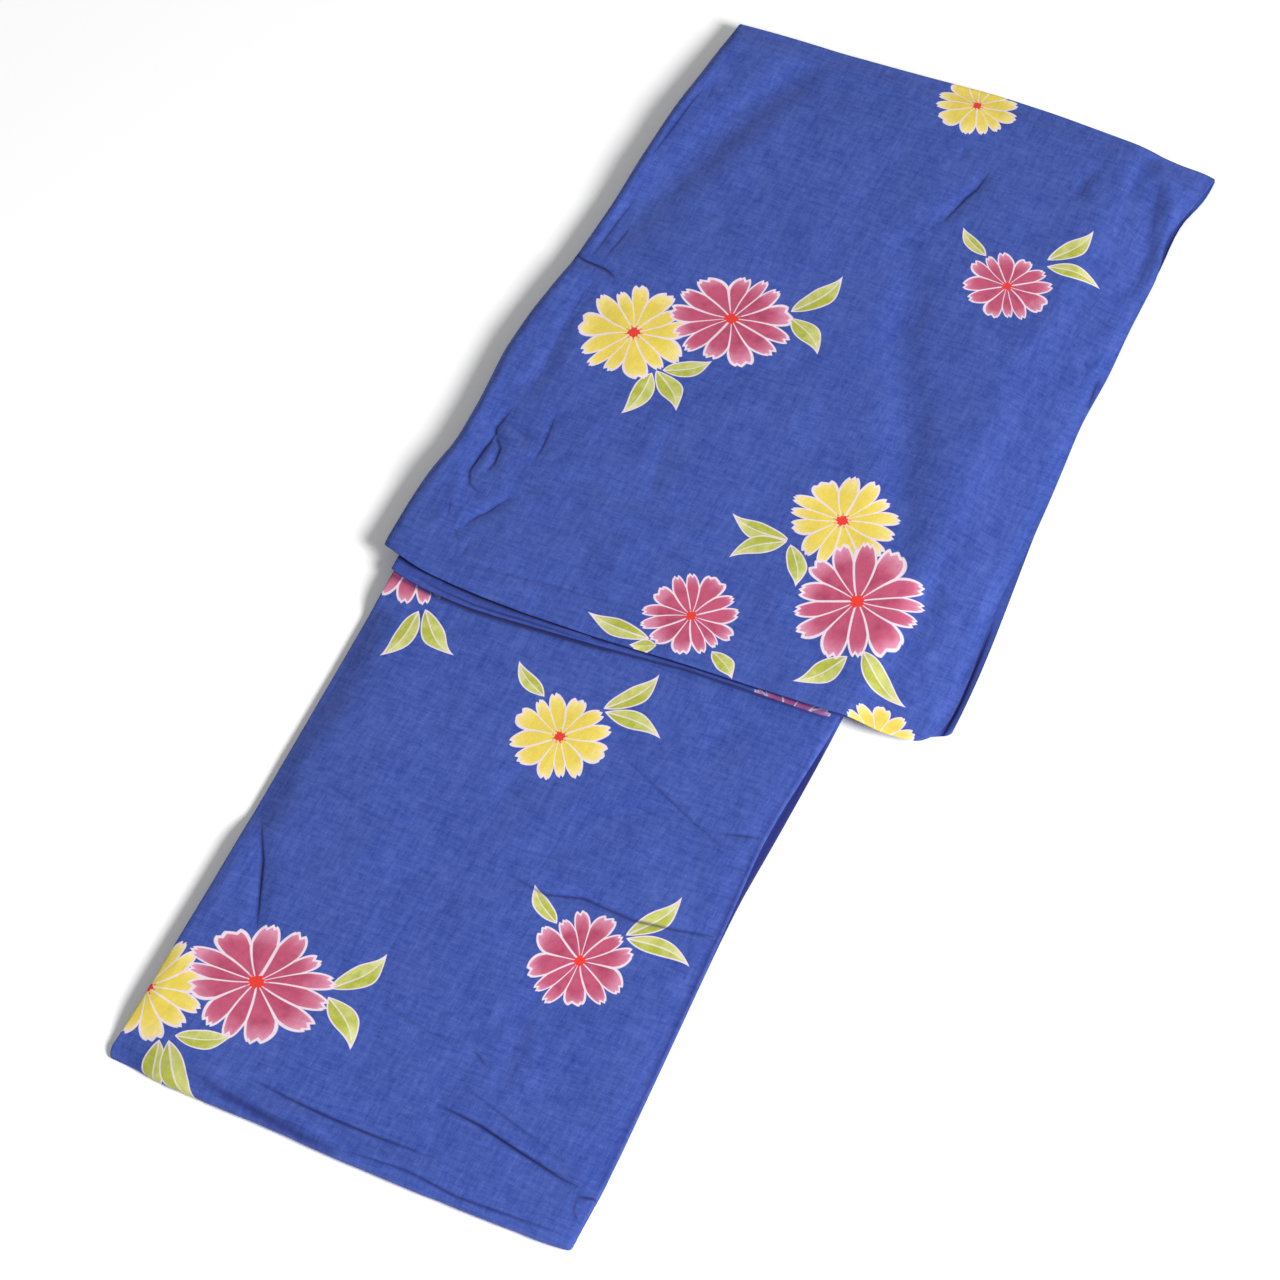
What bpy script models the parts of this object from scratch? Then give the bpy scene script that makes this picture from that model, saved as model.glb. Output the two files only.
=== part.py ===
"""Cotton yukata folded flat: a strip one back panel wide, folded in half at its lower end.

The left sleeve is folded back on top and the right sleeve is folded inside, under the upper half.
Metres, +Z up. The strip runs along Y, with the shoulders at +Y and the fold of the half at -Y.
X and Y in the tables are counted from the strip's middle line and from its fold. CENTRE moves them
to the part's origin, which is the middle of its box, on the surface it lies on.
"""
import math
from collections import namedtuple

import bpy

CENTRE_X = 0.02455
CENTRE_Y = 0.43956

GAP = 0.0003
BODY_WALL = 0.0012
INNER_WALL = 0.0010
SLEEVE_WALL = 0.0011
SLEEVE_AIR = 0.0004
HIDDEN_THICK = 0.0024

# One half of the strip: left panel, hidden layers, right panel.
HALF_THICK = BODY_WALL + GAP + HIDDEN_THICK + GAP + INNER_WALL
ROLL_RADIUS = HALF_THICK + 0.0002
EDGE_RADIUS = HALF_THICK / 2
SLOT = GAP + INNER_WALL + GAP + INNER_WALL + GAP

SHOULDER_Y = 0.8690
HEM_Y = 0.7900
INSIDE_SLEEVE_BOTTOM_Y = 0.4020
INSIDE_SLEEVE_TOP_Y = 0.8690
INSIDE_SLEEVE_LEFT_X = -0.1330
INSIDE_SLEEVE_RIGHT_X = 0.1850
INSIDE_SLEEVE_CORNERS = {"front": (0.0240, 0.0240), "back": (0.0240, 0.0240)}
RISE_START_Y = 0.3340
RISE_END_Y = 0.4000
SAG_START_Y = 0.7950
SAG_END_Y = 0.8720
SAG = 0.0026

# Radius along X and along Y of each layer's wrist corner.
SLEEVE_CORNERS = {"front": (0.0135, 0.0260), "back": (0.0135, 0.0060)}
SLEEVE_REST_Z = 0.0030
SLEEVE_EDGE_Z = 0.0010
SLEEVE_FALL_START_X = 0.1410
SLEEVE_FALL_END_X = 0.1800
SLEEVE_EDGE_START_X = 0.1870
SLEEVE_EDGE_X = 0.2040
SLEEVE_DROOP_START_X = -0.1445
SLEEVE_DROOP_LENGTH = 0.0135
SLEEVE_DROOP = 0.0008
INSIDE_FALL_START_X = 0.1400
INSIDE_FALL_END_X = 0.1700

StripRow = namedtuple("StripRow", "y left right_top right_under")
STRIP = (
    StripRow(-0.005, -0.1440, 0.1440, 0.1432),
    StripRow(0.020, -0.1430, 0.1444, 0.1437),
    StripRow(0.046, -0.1424, 0.1450, 0.1443),
    StripRow(0.087, -0.1424, 0.1438, 0.1429),
    StripRow(0.129, -0.1422, 0.1423, 0.1414),
    StripRow(0.172, -0.1424, 0.1407, 0.1398),
    StripRow(0.215, -0.1428, 0.1389, 0.1383),
    StripRow(0.245, -0.1431, 0.1373, 0.1379),
    StripRow(0.276, -0.1434, 0.1356, 0.1392),
    StripRow(0.304, -0.1437, 0.1362, 0.1402),
    StripRow(0.343, -0.1442, 0.1392, 0.1413),
    StripRow(0.372, -0.1443, 0.1420, 0.1418),
    StripRow(0.500, -0.1430, 0.1425, 0.1415),
    StripRow(0.640, -0.1415, 0.1420, 0.1410),
    StripRow(0.775, -0.1385, 0.1420, 0.1410),
    StripRow(0.869, -0.1290, 0.1420, 0.1410),
)

EndRow = namedtuple("EndRow", "x y")
STRIP_END = (
    EndRow(-0.141, 0.0044),
    EndRow(-0.128, 0.0038),
    EndRow(-0.109, 0.0012),
    EndRow(-0.084, 0.0003),
    EndRow(-0.034, -0.0008),
    EndRow(-0.008, -0.0027),
    EndRow(0.041, -0.0041),
    EndRow(0.090, -0.0047),
    EndRow(0.130, -0.0047),
    EndRow(0.145, -0.0035),
)

SleeveSideRow = namedtuple("SleeveSideRow", "y left front_right back_right")
SLEEVE_SIDES = (
    SleeveSideRow(0.352, -0.1440, 0.1990, 0.2042),
    SleeveSideRow(0.368, -0.1505, 0.1990, 0.2042),
    SleeveSideRow(0.387, -0.1572, 0.1990, 0.2042),
    SleeveSideRow(0.425, -0.1572, 0.2002, 0.2044),
    SleeveSideRow(0.450, -0.1562, 0.1990, 0.2038),
    SleeveSideRow(0.478, -0.1516, 0.1964, 0.2022),
    SleeveSideRow(0.513, -0.1520, 0.1945, 0.1995),
    SleeveSideRow(0.556, -0.1550, 0.1962, 0.1960),
    SleeveSideRow(0.590, -0.1533, 0.1950, 0.1940),
    SleeveSideRow(0.622, -0.1493, 0.1933, 0.1923),
    SleeveSideRow(0.642, -0.1459, 0.1920, 0.1912),
    SleeveSideRow(0.657, -0.1453, 0.1916, 0.1908),
    SleeveSideRow(0.695, -0.1431, 0.1931, 0.1922),
    SleeveSideRow(0.736, -0.1430, 0.1921, 0.1912),
    SleeveSideRow(0.784, -0.1412, 0.1926, 0.1916),
    SleeveSideRow(0.802, -0.1396, 0.1898, 0.1914),
    SleeveSideRow(0.815, -0.1380, 0.1868, 0.1906),
    SleeveSideRow(0.828, -0.1370, 0.1882, 0.1906),
    SleeveSideRow(0.847, -0.1356, 0.1920, 0.1920),
    SleeveSideRow(0.884, -0.1312, 0.1978, 0.1978),
)
# Near its hem the back layer's left edge stops here, short of the front layer's.
BACK_LEFT_X = -0.1452
BACK_LEFT_START_Y = 0.4100
BACK_LEFT_END_Y = 0.4600

SleeveEndRow = namedtuple("SleeveEndRow", "x top front_bottom back_bottom")
SLEEVE_ENDS = (
    SleeveEndRow(-0.158, 0.8740, 0.3887, 0.3800),
    SleeveEndRow(-0.145, 0.8742, 0.3840, 0.3735),
    SleeveEndRow(-0.128, 0.8755, 0.3795, 0.3695),
    SleeveEndRow(-0.112, 0.8765, 0.3775, 0.3678),
    SleeveEndRow(-0.089, 0.8773, 0.3758, 0.3666),
    SleeveEndRow(-0.060, 0.8775, 0.3750, 0.3682),
    SleeveEndRow(-0.007, 0.8802, 0.3759, 0.3720),
    SleeveEndRow(0.045, 0.8836, 0.3788, 0.3772),
    SleeveEndRow(0.086, 0.8832, 0.3799, 0.3776),
    SleeveEndRow(0.137, 0.8803, 0.3820, 0.3784),
    SleeveEndRow(0.150, 0.8794, 0.3831, 0.3852),
    SleeveEndRow(0.166, 0.8804, 0.3846, 0.3876),
    SleeveEndRow(0.176, 0.8811, 0.3873, 0.3903),
    SleeveEndRow(0.187, 0.8811, 0.3890, 0.3920),
    SleeveEndRow(0.196, 0.8805, 0.3898, 0.3984),
    SleeveEndRow(0.208, 0.8790, 0.3905, 0.4060),
)

# The largest folds: a ridge from one point to another, with its height and half width.
Fold = namedtuple("Fold", "x0 y0 x1 y1 height half_width")
SLEEVE_FOLDS = (
    Fold(-0.145, 0.640, -0.120, 0.625, 0.0022, 0.013),
    Fold(-0.140, 0.610, -0.128, 0.520, 0.0016, 0.011),
    Fold(-0.138, 0.500, -0.112, 0.440, 0.0014, 0.012),
    Fold(-0.118, 0.820, -0.124, 0.680, 0.0012, 0.012),
    Fold(-0.060, 0.860, -0.030, 0.640, 0.0012, 0.040),
    Fold(0.030, 0.820, 0.050, 0.560, 0.0016, 0.045),
    Fold(-0.040, 0.520, 0.060, 0.420, 0.0012, 0.040),
    Fold(0.120, 0.720, 0.135, 0.520, 0.0010, 0.030),
    Fold(0.178, 0.830, 0.186, 0.740, 0.0012, 0.012),
    Fold(0.182, 0.690, 0.188, 0.610, 0.0010, 0.012),
)
STRIP_FOLDS = (
    Fold(-0.120, 0.158, -0.108, 0.112, 0.0012, 0.014),
    Fold(-0.040, 0.215, 0.120, 0.205, 0.0008, 0.030),
    Fold(0.060, 0.050, 0.125, 0.030, 0.0012, 0.016),
    Fold(0.020, 0.300, 0.090, 0.272, 0.0007, 0.022),
    Fold(-0.100, 0.030, 0.020, 0.022, 0.0008, 0.012),
)

BLUE = (0.062, 0.096, 0.402, 1.0)
DEEP_BLUE = (0.048, 0.075, 0.330, 1.0)

# Shares of the sleeve's straight width that have a column of points, closer where it falls.
SLEEVE_SHARES = (
    0, 0.025, 0.05, 0.15, 0.27, 0.39, 0.51, 0.63, 0.75, 0.83, 0.868, 0.9, 0.935, 0.97, 1
)
INSIDE_SHARES = (0, 0.3, 0.6, 0.9, 0.93, 0.965, 1)
CORNER_STEPS = 5
SLEEVE_ROWS = 20
INSIDE_ROWS = 13
HAIRPIN_STEPS = 4
BODY_COLUMNS = 8
CURL_STEPS = 3
ROLL_STEPS = 8

# Rows of points along the upper half and along the hem half, each stretch with its own count.
Stretch = namedtuple("Stretch", "start_y rows")
UPPER_STRETCHES = (
    Stretch(SAG_END_Y, 5),
    Stretch(SAG_START_Y, 5),
    Stretch(RISE_END_Y, 5),
    Stretch(RISE_START_Y, 12),
)
LOWER_ROWS = 9


def smooth(value):
    """Rises from 0 to 1 with level ends."""
    value = min(1.0, max(0.0, value))
    return value * value * (3 - 2 * value)


def mix(a, b, share):
    return a + (b - a) * share


def read(rows, key, at, column):
    """The value of a column where the key column has the given value, between its rows."""
    if at <= getattr(rows[0], key):
        return getattr(rows[0], column)
    for low, high in zip(rows, rows[1:]):
        if at <= getattr(high, key):
            share = (at - getattr(low, key)) / (getattr(high, key) - getattr(low, key))
            return mix(getattr(low, column), getattr(high, column), share)
    return getattr(rows[-1], column)


def fold_height(folds, x, y):
    """How far the folds lift the cloth at a point."""
    total = 0.0
    for fold in folds:
        along_x = fold.x1 - fold.x0
        along_y = fold.y1 - fold.y0
        length = math.hypot(along_x, along_y)
        t = ((x - fold.x0) * along_x + (y - fold.y0) * along_y) / length ** 2
        across = ((x - fold.x0) * along_y - (y - fold.y0) * along_x) / length
        past = max(0.0, -t, t - 1) * length
        total += fold.height * math.exp(-(across ** 2 + past ** 2) / fold.half_width ** 2)
    return total


def sag(y):
    """How far the shoulder end sinks where the hem half no longer carries it."""
    return SAG * smooth((y - SAG_START_Y) / (SAG_END_Y - SAG_START_Y))


def strip_top(y):
    """The height of the strip's upper face, higher where the right sleeve lies inside."""
    rise = smooth((y - RISE_START_Y) / (RISE_END_Y - RISE_START_Y))
    return 2 * ROLL_RADIUS + rise * (SLOT - 2 * (ROLL_RADIUS - HALF_THICK)) - sag(y)


def roll_middle_y(x):
    """Where the roll at the strip's end has its axis."""
    return read(STRIP_END, "x", x, "y") + ROLL_RADIUS


def bend(x, station, depth, lift=0.0):
    """A point of the folded strip, from its place along the strip and its depth below the outer face."""
    kind, value = station
    axis_y = roll_middle_y(x)
    if kind == "roll":
        reach = ROLL_RADIUS - depth
        return (x, axis_y - reach * math.sin(value), ROLL_RADIUS + reach * math.cos(value))
    y = value + (axis_y - ROLL_RADIUS) * max(0.0, 1 - value / 0.12)
    if kind == "upper":
        return (x, y, strip_top(y) - depth + lift)
    return (x, y, depth)


def strip_stations(upper_end, lower_end):
    """Places along the strip, from the shoulder end round the roll to the hem."""
    stations = []
    ends = [stretch.start_y for stretch in UPPER_STRETCHES[1:]] + [ROLL_RADIUS]
    for stretch, end_y in zip(UPPER_STRETCHES, ends):
        for i in range(stretch.rows):
            y = mix(stretch.start_y, end_y, i / stretch.rows)
            stations.append(("upper", min(y, upper_end)))
    for i in range(ROLL_STEPS + 1):
        stations.append(("roll", math.pi * i / ROLL_STEPS))
    for i in range(1, LOWER_ROWS + 1):
        y = mix(ROLL_RADIUS, HEM_Y, i / LOWER_ROWS)
        stations.append(("lower", min(y, lower_end)))
    return stations


def strip_sides(station):
    """The strip's left and right edge at a station."""
    kind, value = station
    if kind == "roll":
        under = value / math.pi
        y = 0.0
    else:
        under = 0.0 if kind == "upper" else 1.0
        y = value
    left = read(STRIP, "y", y, "left")
    right = mix(read(STRIP, "y", y, "right_top"), read(STRIP, "y", y, "right_under"), under)
    return left + 0.0008 * under, right


def make_object(name, mesh, collection, colour):
    obj = bpy.data.objects.new(name, mesh)
    collection.objects.link(obj)
    mesh.materials.clear()
    mesh.materials.append(cotton(name + "_cotton", colour))
    mesh.shade_smooth()
    mesh.set_sharp_from_angle(angle=math.radians(50))
    return obj


def cotton(name, colour):
    material = bpy.data.materials.new(name)
    material.use_nodes = True
    shader = material.node_tree.nodes["Principled BSDF"]
    shader.inputs["Base Color"].default_value = colour
    shader.inputs["Roughness"].default_value = 0.85
    shader.inputs["Metallic"].default_value = 0.0
    return material


def cloth_sheet(name, grid, wall, collection, colour):
    """A wall of cloth round the middle surface that the grid of points gives."""
    rows = len(grid)
    columns = len(grid[0])
    bpy.ops.mesh.primitive_grid_add(x_subdivisions=columns - 1, y_subdivisions=rows - 1, size=2)
    made = bpy.context.object
    mesh = made.data
    for vertex in mesh.vertices:
        i = round((vertex.co.x + 1) / 2 * (columns - 1))
        j = round((vertex.co.y + 1) / 2 * (rows - 1))
        x, y, z = grid[j][i]
        vertex.co = (x - CENTRE_X, y - CENTRE_Y, z)
    mesh.name = name
    bpy.data.objects.remove(made)
    obj = make_object(name, mesh, collection, colour)
    solid = obj.modifiers.new("wall", "SOLIDIFY")
    solid.thickness = wall
    solid.offset = 0.0
    solid.use_even_offset = True
    solid.use_quality_normals = True
    return obj


def loft(name, rings, collection, colour):
    """A closed solid through rings with the same number of points."""
    count = len(rings[0])
    points = []
    for ring in rings:
        for x, y, z in ring:
            points.append((x - CENTRE_X, y - CENTRE_Y, z))
    faces = []
    for k in range(len(rings) - 1):
        for i in range(count):
            j = (i + 1) % count
            faces.append((k * count + j, k * count + i, (k + 1) * count + i, (k + 1) * count + j))
    faces.append(tuple(range(count)))
    last = (len(rings) - 1) * count
    faces.append(tuple(reversed(range(last, last + count))))
    mesh = bpy.data.meshes.new(name)
    mesh.from_pydata(points, [], faces)
    mesh.validate()
    return make_object(name, mesh, collection, colour)


def left_body(collection):
    """Back panel of the left body: on top, round the end and along the underside."""
    half = BODY_WALL / 2
    curl = EDGE_RADIUS - half
    side_curl = 0.0012
    grid = []
    stations = strip_stations(SHOULDER_Y - 0.0012, HEM_Y)
    stations = [("shoulder", 0.75), ("shoulder", 0.35)] + stations
    for station in stations:
        kind, value = station
        drop = 0.0
        if kind == "shoulder":
            drop = 0.0013 * (1 - math.cos(value * math.pi / 2)) / (1 - math.cos(0.75 * math.pi / 2))
            y_end = SHOULDER_Y - 0.0012 + 0.0012 * math.sin(value * math.pi / 2)
            station = ("upper", y_end)
        left, right = strip_sides(station)
        row = []
        for k in range(2):
            angle = math.radians(60 - 30 * k)
            x = left + half + side_curl * (1 - math.sin(angle))
            row.append((x, half + side_curl * (1 - math.cos(angle))))
        start = left + half + side_curl
        end = right - EDGE_RADIUS
        for k in range(BODY_COLUMNS + 1):
            row.append((mix(start, end, k / BODY_COLUMNS), half))
        for k in range(1, CURL_STEPS + 1):
            angle = math.radians(86) * k / CURL_STEPS
            row.append((end + curl * math.sin(angle), EDGE_RADIUS - curl * math.cos(angle)))
        placed = []
        for x, depth in row:
            lift = 0.0
            if station[0] == "upper" and station[1] < RISE_START_Y:
                inside = min(1.0, (x - left) / 0.012, (end - x) / 0.012)
                near_rise = smooth((RISE_START_Y - station[1]) / 0.03)
                near_roll = smooth((station[1] - 0.006) / 0.02)
                height = fold_height(STRIP_FOLDS, x, station[1])
                lift = max(0.0, inside) * near_rise * near_roll * height
            placed.append(bend(x, station, depth + drop, lift))
        grid.append(placed)
    return cloth_sheet("left_body", grid, BODY_WALL, collection, BLUE)


def right_body(collection):
    """Back panel of the right body, inside the fold, up to the centre-back seam at the right edge."""
    half = INNER_WALL / 2
    curl = EDGE_RADIUS - half
    middle = HALF_THICK - half
    grid = []
    for station in strip_stations(SHOULDER_Y - 0.002, HEM_Y - 0.002):
        left, right = strip_sides(station)
        row = []
        start = left + 0.0035
        end = right - EDGE_RADIUS
        for k in range(BODY_COLUMNS + 1):
            row.append((mix(start, end, k / BODY_COLUMNS), middle))
        for k in range(1, CURL_STEPS + 1):
            angle = math.radians(80) * k / CURL_STEPS
            row.append((end + curl * math.sin(angle), HALF_THICK - EDGE_RADIUS + curl * math.cos(angle)))
        grid.append([bend(x, station, depth) for x, depth in row])
    return cloth_sheet("right_body", grid, INNER_WALL, collection, DEEP_BLUE)


def folded_layers(collection):
    """Both fronts, both overlap panels and the collar: one rounded solid, layered at its edges."""
    top = BODY_WALL + GAP
    bottom = top + HIDDEN_THICK
    middle = (top + bottom) / 2
    page = HIDDEN_THICK / 4
    rings = []
    stations = strip_stations(SHOULDER_Y - 0.0045, HEM_Y - 0.0040)
    last = len(stations) - 1
    for index, station in enumerate(stations):
        left, right = strip_sides(station)
        squeeze = 0.45 if index in (0, last) else 1.0
        outer = left + 0.0034
        inner = right - 0.0020
        span_left = outer + 0.0016
        span_right = inner - 0.0011
        ring = []
        for k in range(BODY_COLUMNS + 1):
            ring.append((mix(span_left, span_right, k / BODY_COLUMNS), top))
        ring.append((inner - 0.0003, middle - page))
        ring.append((inner, middle))
        ring.append((inner - 0.0003, middle + page))
        for k in range(BODY_COLUMNS + 1):
            ring.append((mix(span_right, span_left, k / BODY_COLUMNS), bottom))
        ring.append((outer + 0.0004, middle + page * 1.2))
        ring.append((outer + 0.0014, middle + page * 0.15))
        ring.append((outer + 0.0014, middle - page * 0.15))
        ring.append((outer, middle - page * 1.2))
        placed = []
        for x, depth in ring:
            placed.append(bend(x, station, middle + (depth - middle) * squeeze))
        rings.append(placed)
    obj = loft("folded_layers", rings, collection, DEEP_BLUE)
    return obj


def sleeve_base(x, y):
    """The height that the left sleeve lies on: the strip, then down to the right over its edge."""
    over_strip = strip_top(y) + 1.5 * GAP
    fall = smooth((x - SLEEVE_FALL_START_X) / (SLEEVE_FALL_END_X - SLEEVE_FALL_START_X))
    edge = smooth((x - SLEEVE_EDGE_START_X) / (SLEEVE_EDGE_X - SLEEVE_EDGE_START_X))
    droop = SLEEVE_DROOP * smooth((SLEEVE_DROOP_START_X - x) / SLEEVE_DROOP_LENGTH)
    height = mix(over_strip - droop, SLEEVE_REST_Z, fall)
    return mix(height, SLEEVE_EDGE_Z, edge)


def inside_sleeve_base(x, y):
    """The height that the right sleeve lies on: the hem half, then the surface past its edge."""
    over_hem_half = HALF_THICK + GAP - sag(y)
    fall = smooth((x - INSIDE_FALL_START_X) / (INSIDE_FALL_END_X - INSIDE_FALL_START_X))
    return mix(over_hem_half, 0.0002, fall)


def sleeve_grid(columns, rows, side, ends, corners, base, wall, air, folds):
    """Middle surface of a flattened sleeve: lower layer, fold at the shoulder, upper layer.

    side(layer, y) gives the left and right edge, ends(layer, x) the bottom and top edge.
    corners gives each layer's wrist corner, and a column is a share of the straight width and an
    angle round that corner.
    """
    lower = wall / 2
    upper = wall / 2 + wall + air
    hairpin = (upper - lower) / 2

    def point(layer, column, share):
        straight, angle = column
        corner_x, corner_y = corners[layer]
        y = mix(0.38, 0.87, share)
        x = 0.0
        for _ in range(3):
            left, right = side(layer, y)
            x = mix(left, right - corner_x, straight) + corner_x * math.sin(angle)
            bottom, top = ends(layer, x)
            y = mix(bottom + corner_y * (1 - math.cos(angle)), top - hairpin, share)
        return x, y

    grid = []
    for j in range(rows + 1):
        line = []
        for column in columns:
            x, y = point("back", column, row_share(j / rows))
            line.append((x, y, base(x, y) + lower))
        grid.append(line)
    for k in range(1, HAIRPIN_STEPS):
        angle = math.pi * k / HAIRPIN_STEPS
        line = []
        for column in columns:
            x, y = point("front", column, 1.0)
            height = base(x, y) + lower + hairpin - hairpin * math.cos(angle)
            line.append((x, y + hairpin * math.sin(angle), height))
        grid.append(line)
    for j in range(rows + 1):
        line = []
        for column in columns:
            x, y = point("front", column, 1 - row_share(j / rows))
            near_fold = smooth(j / rows / 0.12)
            lift = near_fold * fold_height(folds, x, y)
            line.append((x, y, base(x, y) + upper + lift))
        grid.append(line)
    return grid


def row_share(value):
    """Spreads rows over a sleeve's length, closer near both ends."""
    return mix(value, (1 - math.cos(math.pi * value)) / 2, 0.5)


def sleeve_columns(shares):
    columns = []
    for share in shares:
        columns.append((share, 0.0))
    for i in range(1, CORNER_STEPS + 1):
        columns.append((1.0, math.pi / 2 * i / CORNER_STEPS))
    return columns


def left_sleeve(collection):
    """Left sleeve folded back on the strip: one length of cloth, folded at the shoulder."""

    def side(layer, y):
        left = read(SLEEVE_SIDES, "y", y, "left")
        if layer == "front":
            return left, read(SLEEVE_SIDES, "y", y, "front_right")
        left += 0.0008
        near_hem = smooth((BACK_LEFT_END_Y - y) / (BACK_LEFT_END_Y - BACK_LEFT_START_Y))
        return mix(left, max(left, BACK_LEFT_X), near_hem), read(SLEEVE_SIDES, "y", y, "back_right")

    def ends(layer, x):
        column = "front_bottom" if layer == "front" else "back_bottom"
        return read(SLEEVE_ENDS, "x", x, column), read(SLEEVE_ENDS, "x", x, "top")

    columns = sleeve_columns(SLEEVE_SHARES)
    grid = sleeve_grid(
        columns, SLEEVE_ROWS, side, ends, SLEEVE_CORNERS,
        sleeve_base, SLEEVE_WALL, SLEEVE_AIR, SLEEVE_FOLDS,
    )
    return cloth_sheet("left_sleeve", grid, SLEEVE_WALL, collection, BLUE)


def right_sleeve(collection):
    """Right sleeve folded in between the two halves of the strip, its wrist end on the surface."""

    def side(layer, y):
        shift = 0.0 if layer == "front" else 0.0015
        return INSIDE_SLEEVE_LEFT_X, INSIDE_SLEEVE_RIGHT_X - shift

    def ends(layer, x):
        shift = 0.0 if layer == "front" else -0.002
        return INSIDE_SLEEVE_BOTTOM_Y + shift, INSIDE_SLEEVE_TOP_Y

    columns = sleeve_columns(INSIDE_SHARES)
    grid = sleeve_grid(
        columns, INSIDE_ROWS, side, ends, INSIDE_SLEEVE_CORNERS,
        inside_sleeve_base, INNER_WALL, GAP, (),
    )
    return cloth_sheet("right_sleeve", grid, INNER_WALL, collection, DEEP_BLUE)


def build():
    for obj in list(bpy.data.objects):
        bpy.data.objects.remove(obj)
    collection = bpy.data.collections.new("folded_yukata")
    bpy.context.scene.collection.children.link(collection)
    left_body(collection)
    right_body(collection)
    folded_layers(collection)
    right_sleeve(collection)
    left_sleeve(collection)


build()
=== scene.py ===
"""Cotton yukata folded flat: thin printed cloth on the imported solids."""
import math
from collections import namedtuple

import bpy
import numpy as np
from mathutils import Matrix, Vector


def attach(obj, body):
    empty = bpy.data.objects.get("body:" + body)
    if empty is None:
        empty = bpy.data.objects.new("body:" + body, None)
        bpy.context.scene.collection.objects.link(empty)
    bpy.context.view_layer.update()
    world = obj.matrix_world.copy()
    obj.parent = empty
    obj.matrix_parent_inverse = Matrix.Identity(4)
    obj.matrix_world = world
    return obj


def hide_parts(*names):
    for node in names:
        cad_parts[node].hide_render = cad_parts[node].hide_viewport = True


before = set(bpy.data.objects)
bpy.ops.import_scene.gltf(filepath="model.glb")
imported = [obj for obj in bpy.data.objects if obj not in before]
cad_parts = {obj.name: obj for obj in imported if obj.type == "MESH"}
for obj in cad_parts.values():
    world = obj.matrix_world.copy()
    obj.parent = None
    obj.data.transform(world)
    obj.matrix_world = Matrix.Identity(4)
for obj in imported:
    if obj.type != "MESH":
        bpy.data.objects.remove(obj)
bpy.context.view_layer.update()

# Sizes, metres
# X and Y are counted from the strip's middle line and from its lower fold. Tables are in millimetres.
CENTRE = np.array((0.02455, 0.43956, 0.0))

GAP = 0.0003
BODY_WALL = 0.0012
INNER_WALL = 0.0010
SLEEVE_WALL = 0.0011
SLEEVE_AIR = 0.0004
HIDDEN_THICK = 0.0024
HALF_THICK = BODY_WALL + GAP + HIDDEN_THICK + GAP + INNER_WALL
ROLL_RADIUS = HALF_THICK + 0.0002
EDGE_RADIUS = HALF_THICK / 2
SLOT = GAP + INNER_WALL + GAP + INNER_WALL + GAP
CLOTH = 0.0006
ROLL_SHIFT_LENGTH = 0.12

SHOULDER_Y = 0.8690
HEM_Y = 0.7900
RISE_Y = (0.3340, 0.4000)
SAG_Y = (0.7950, 0.8720)
SAG = 0.0026

INSIDE_SLEEVE_BOTTOM_Y = 0.4020
INSIDE_SLEEVE_TOP_Y = 0.8690
INSIDE_SLEEVE_LEFT_X = -0.1330
INSIDE_SLEEVE_RIGHT_X = 0.1850
INSIDE_SLEEVE_CORNERS = {"front": (0.0240, 0.0240), "back": (0.0240, 0.0240)}
INSIDE_FALL_X = (0.1400, 0.1700)

SLEEVE_CORNERS = {"front": (0.0135, 0.0260), "back": (0.0030, 0.0030)}
BACK_LEFT_X = -0.1452
SLEEVE_REST_Z = 0.0030
SLEEVE_EDGE_Z = 0.0010
SLEEVE_FALL_X = (0.1410, 0.1800)
SLEEVE_EDGE_X = (0.1870, 0.2040)
SPAN_X = (0.1370, 0.1960)
SLEEVE_LOFT = 0.0026
SLEEVE_LEAST_LIFT = -0.0013
STRIP_LOFT = 0.0011
STRIP_LEAST_LIFT = -0.0010
# How far in from an edge a lift of the cloth comes up.
STRIP_LEFT_REACH = 0.008
STRIP_RIGHT_REACH = 0.014
SWELL_END = 0.045
SLEEVE_LEFT_REACH = 0.0025
SLEEVE_RIGHT_REACH = 0.006
SLEEVE_TOP_REACH = 0.008
# A swell's seed, shortest and longest wave, and height.
STRIP_RIPPLE = (3, 0.03, 0.16, 0.0004)
SLEEVE_RIPPLE = (8, 0.03, 0.18, 0.0005)
# How far the sleeve's front layer stands off the back one at its hem, and over what length.
HEM_PARTING = 0.0009
HEM_PARTING_LENGTH = 0.012
BACK_LEFT_END_Y = 0.46
BACK_LEFT_LENGTH = 0.05
LIFT_SHIFT = (0.305, -0.687)
SLEEVE_DROOP_START_X = -0.1445
SLEEVE_DROOP_LENGTH = 0.0135
SLEEVE_DROOP = 0.0008


def table(kind, *rows):
    """Rows of one kind. Their lengths are given in millimetres and made metres, a core's apart."""
    done = []
    for values in rows:
        row = kind(*values)
        changes = {}
        for name, value in zip(kind._fields, row):
            if name == "points":
                changes[name] = tuple((x / 1000, y / 1000) for x, y in zip(value[::2], value[1::2]))
            elif name not in NOT_LENGTHS:
                changes[name] = value / 1000
        done.append(row._replace(**changes))
    return tuple(done)


NOT_LENGTHS = ("core", "share", "colour", "petals", "turn", "bend", "kind", "flip")

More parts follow.
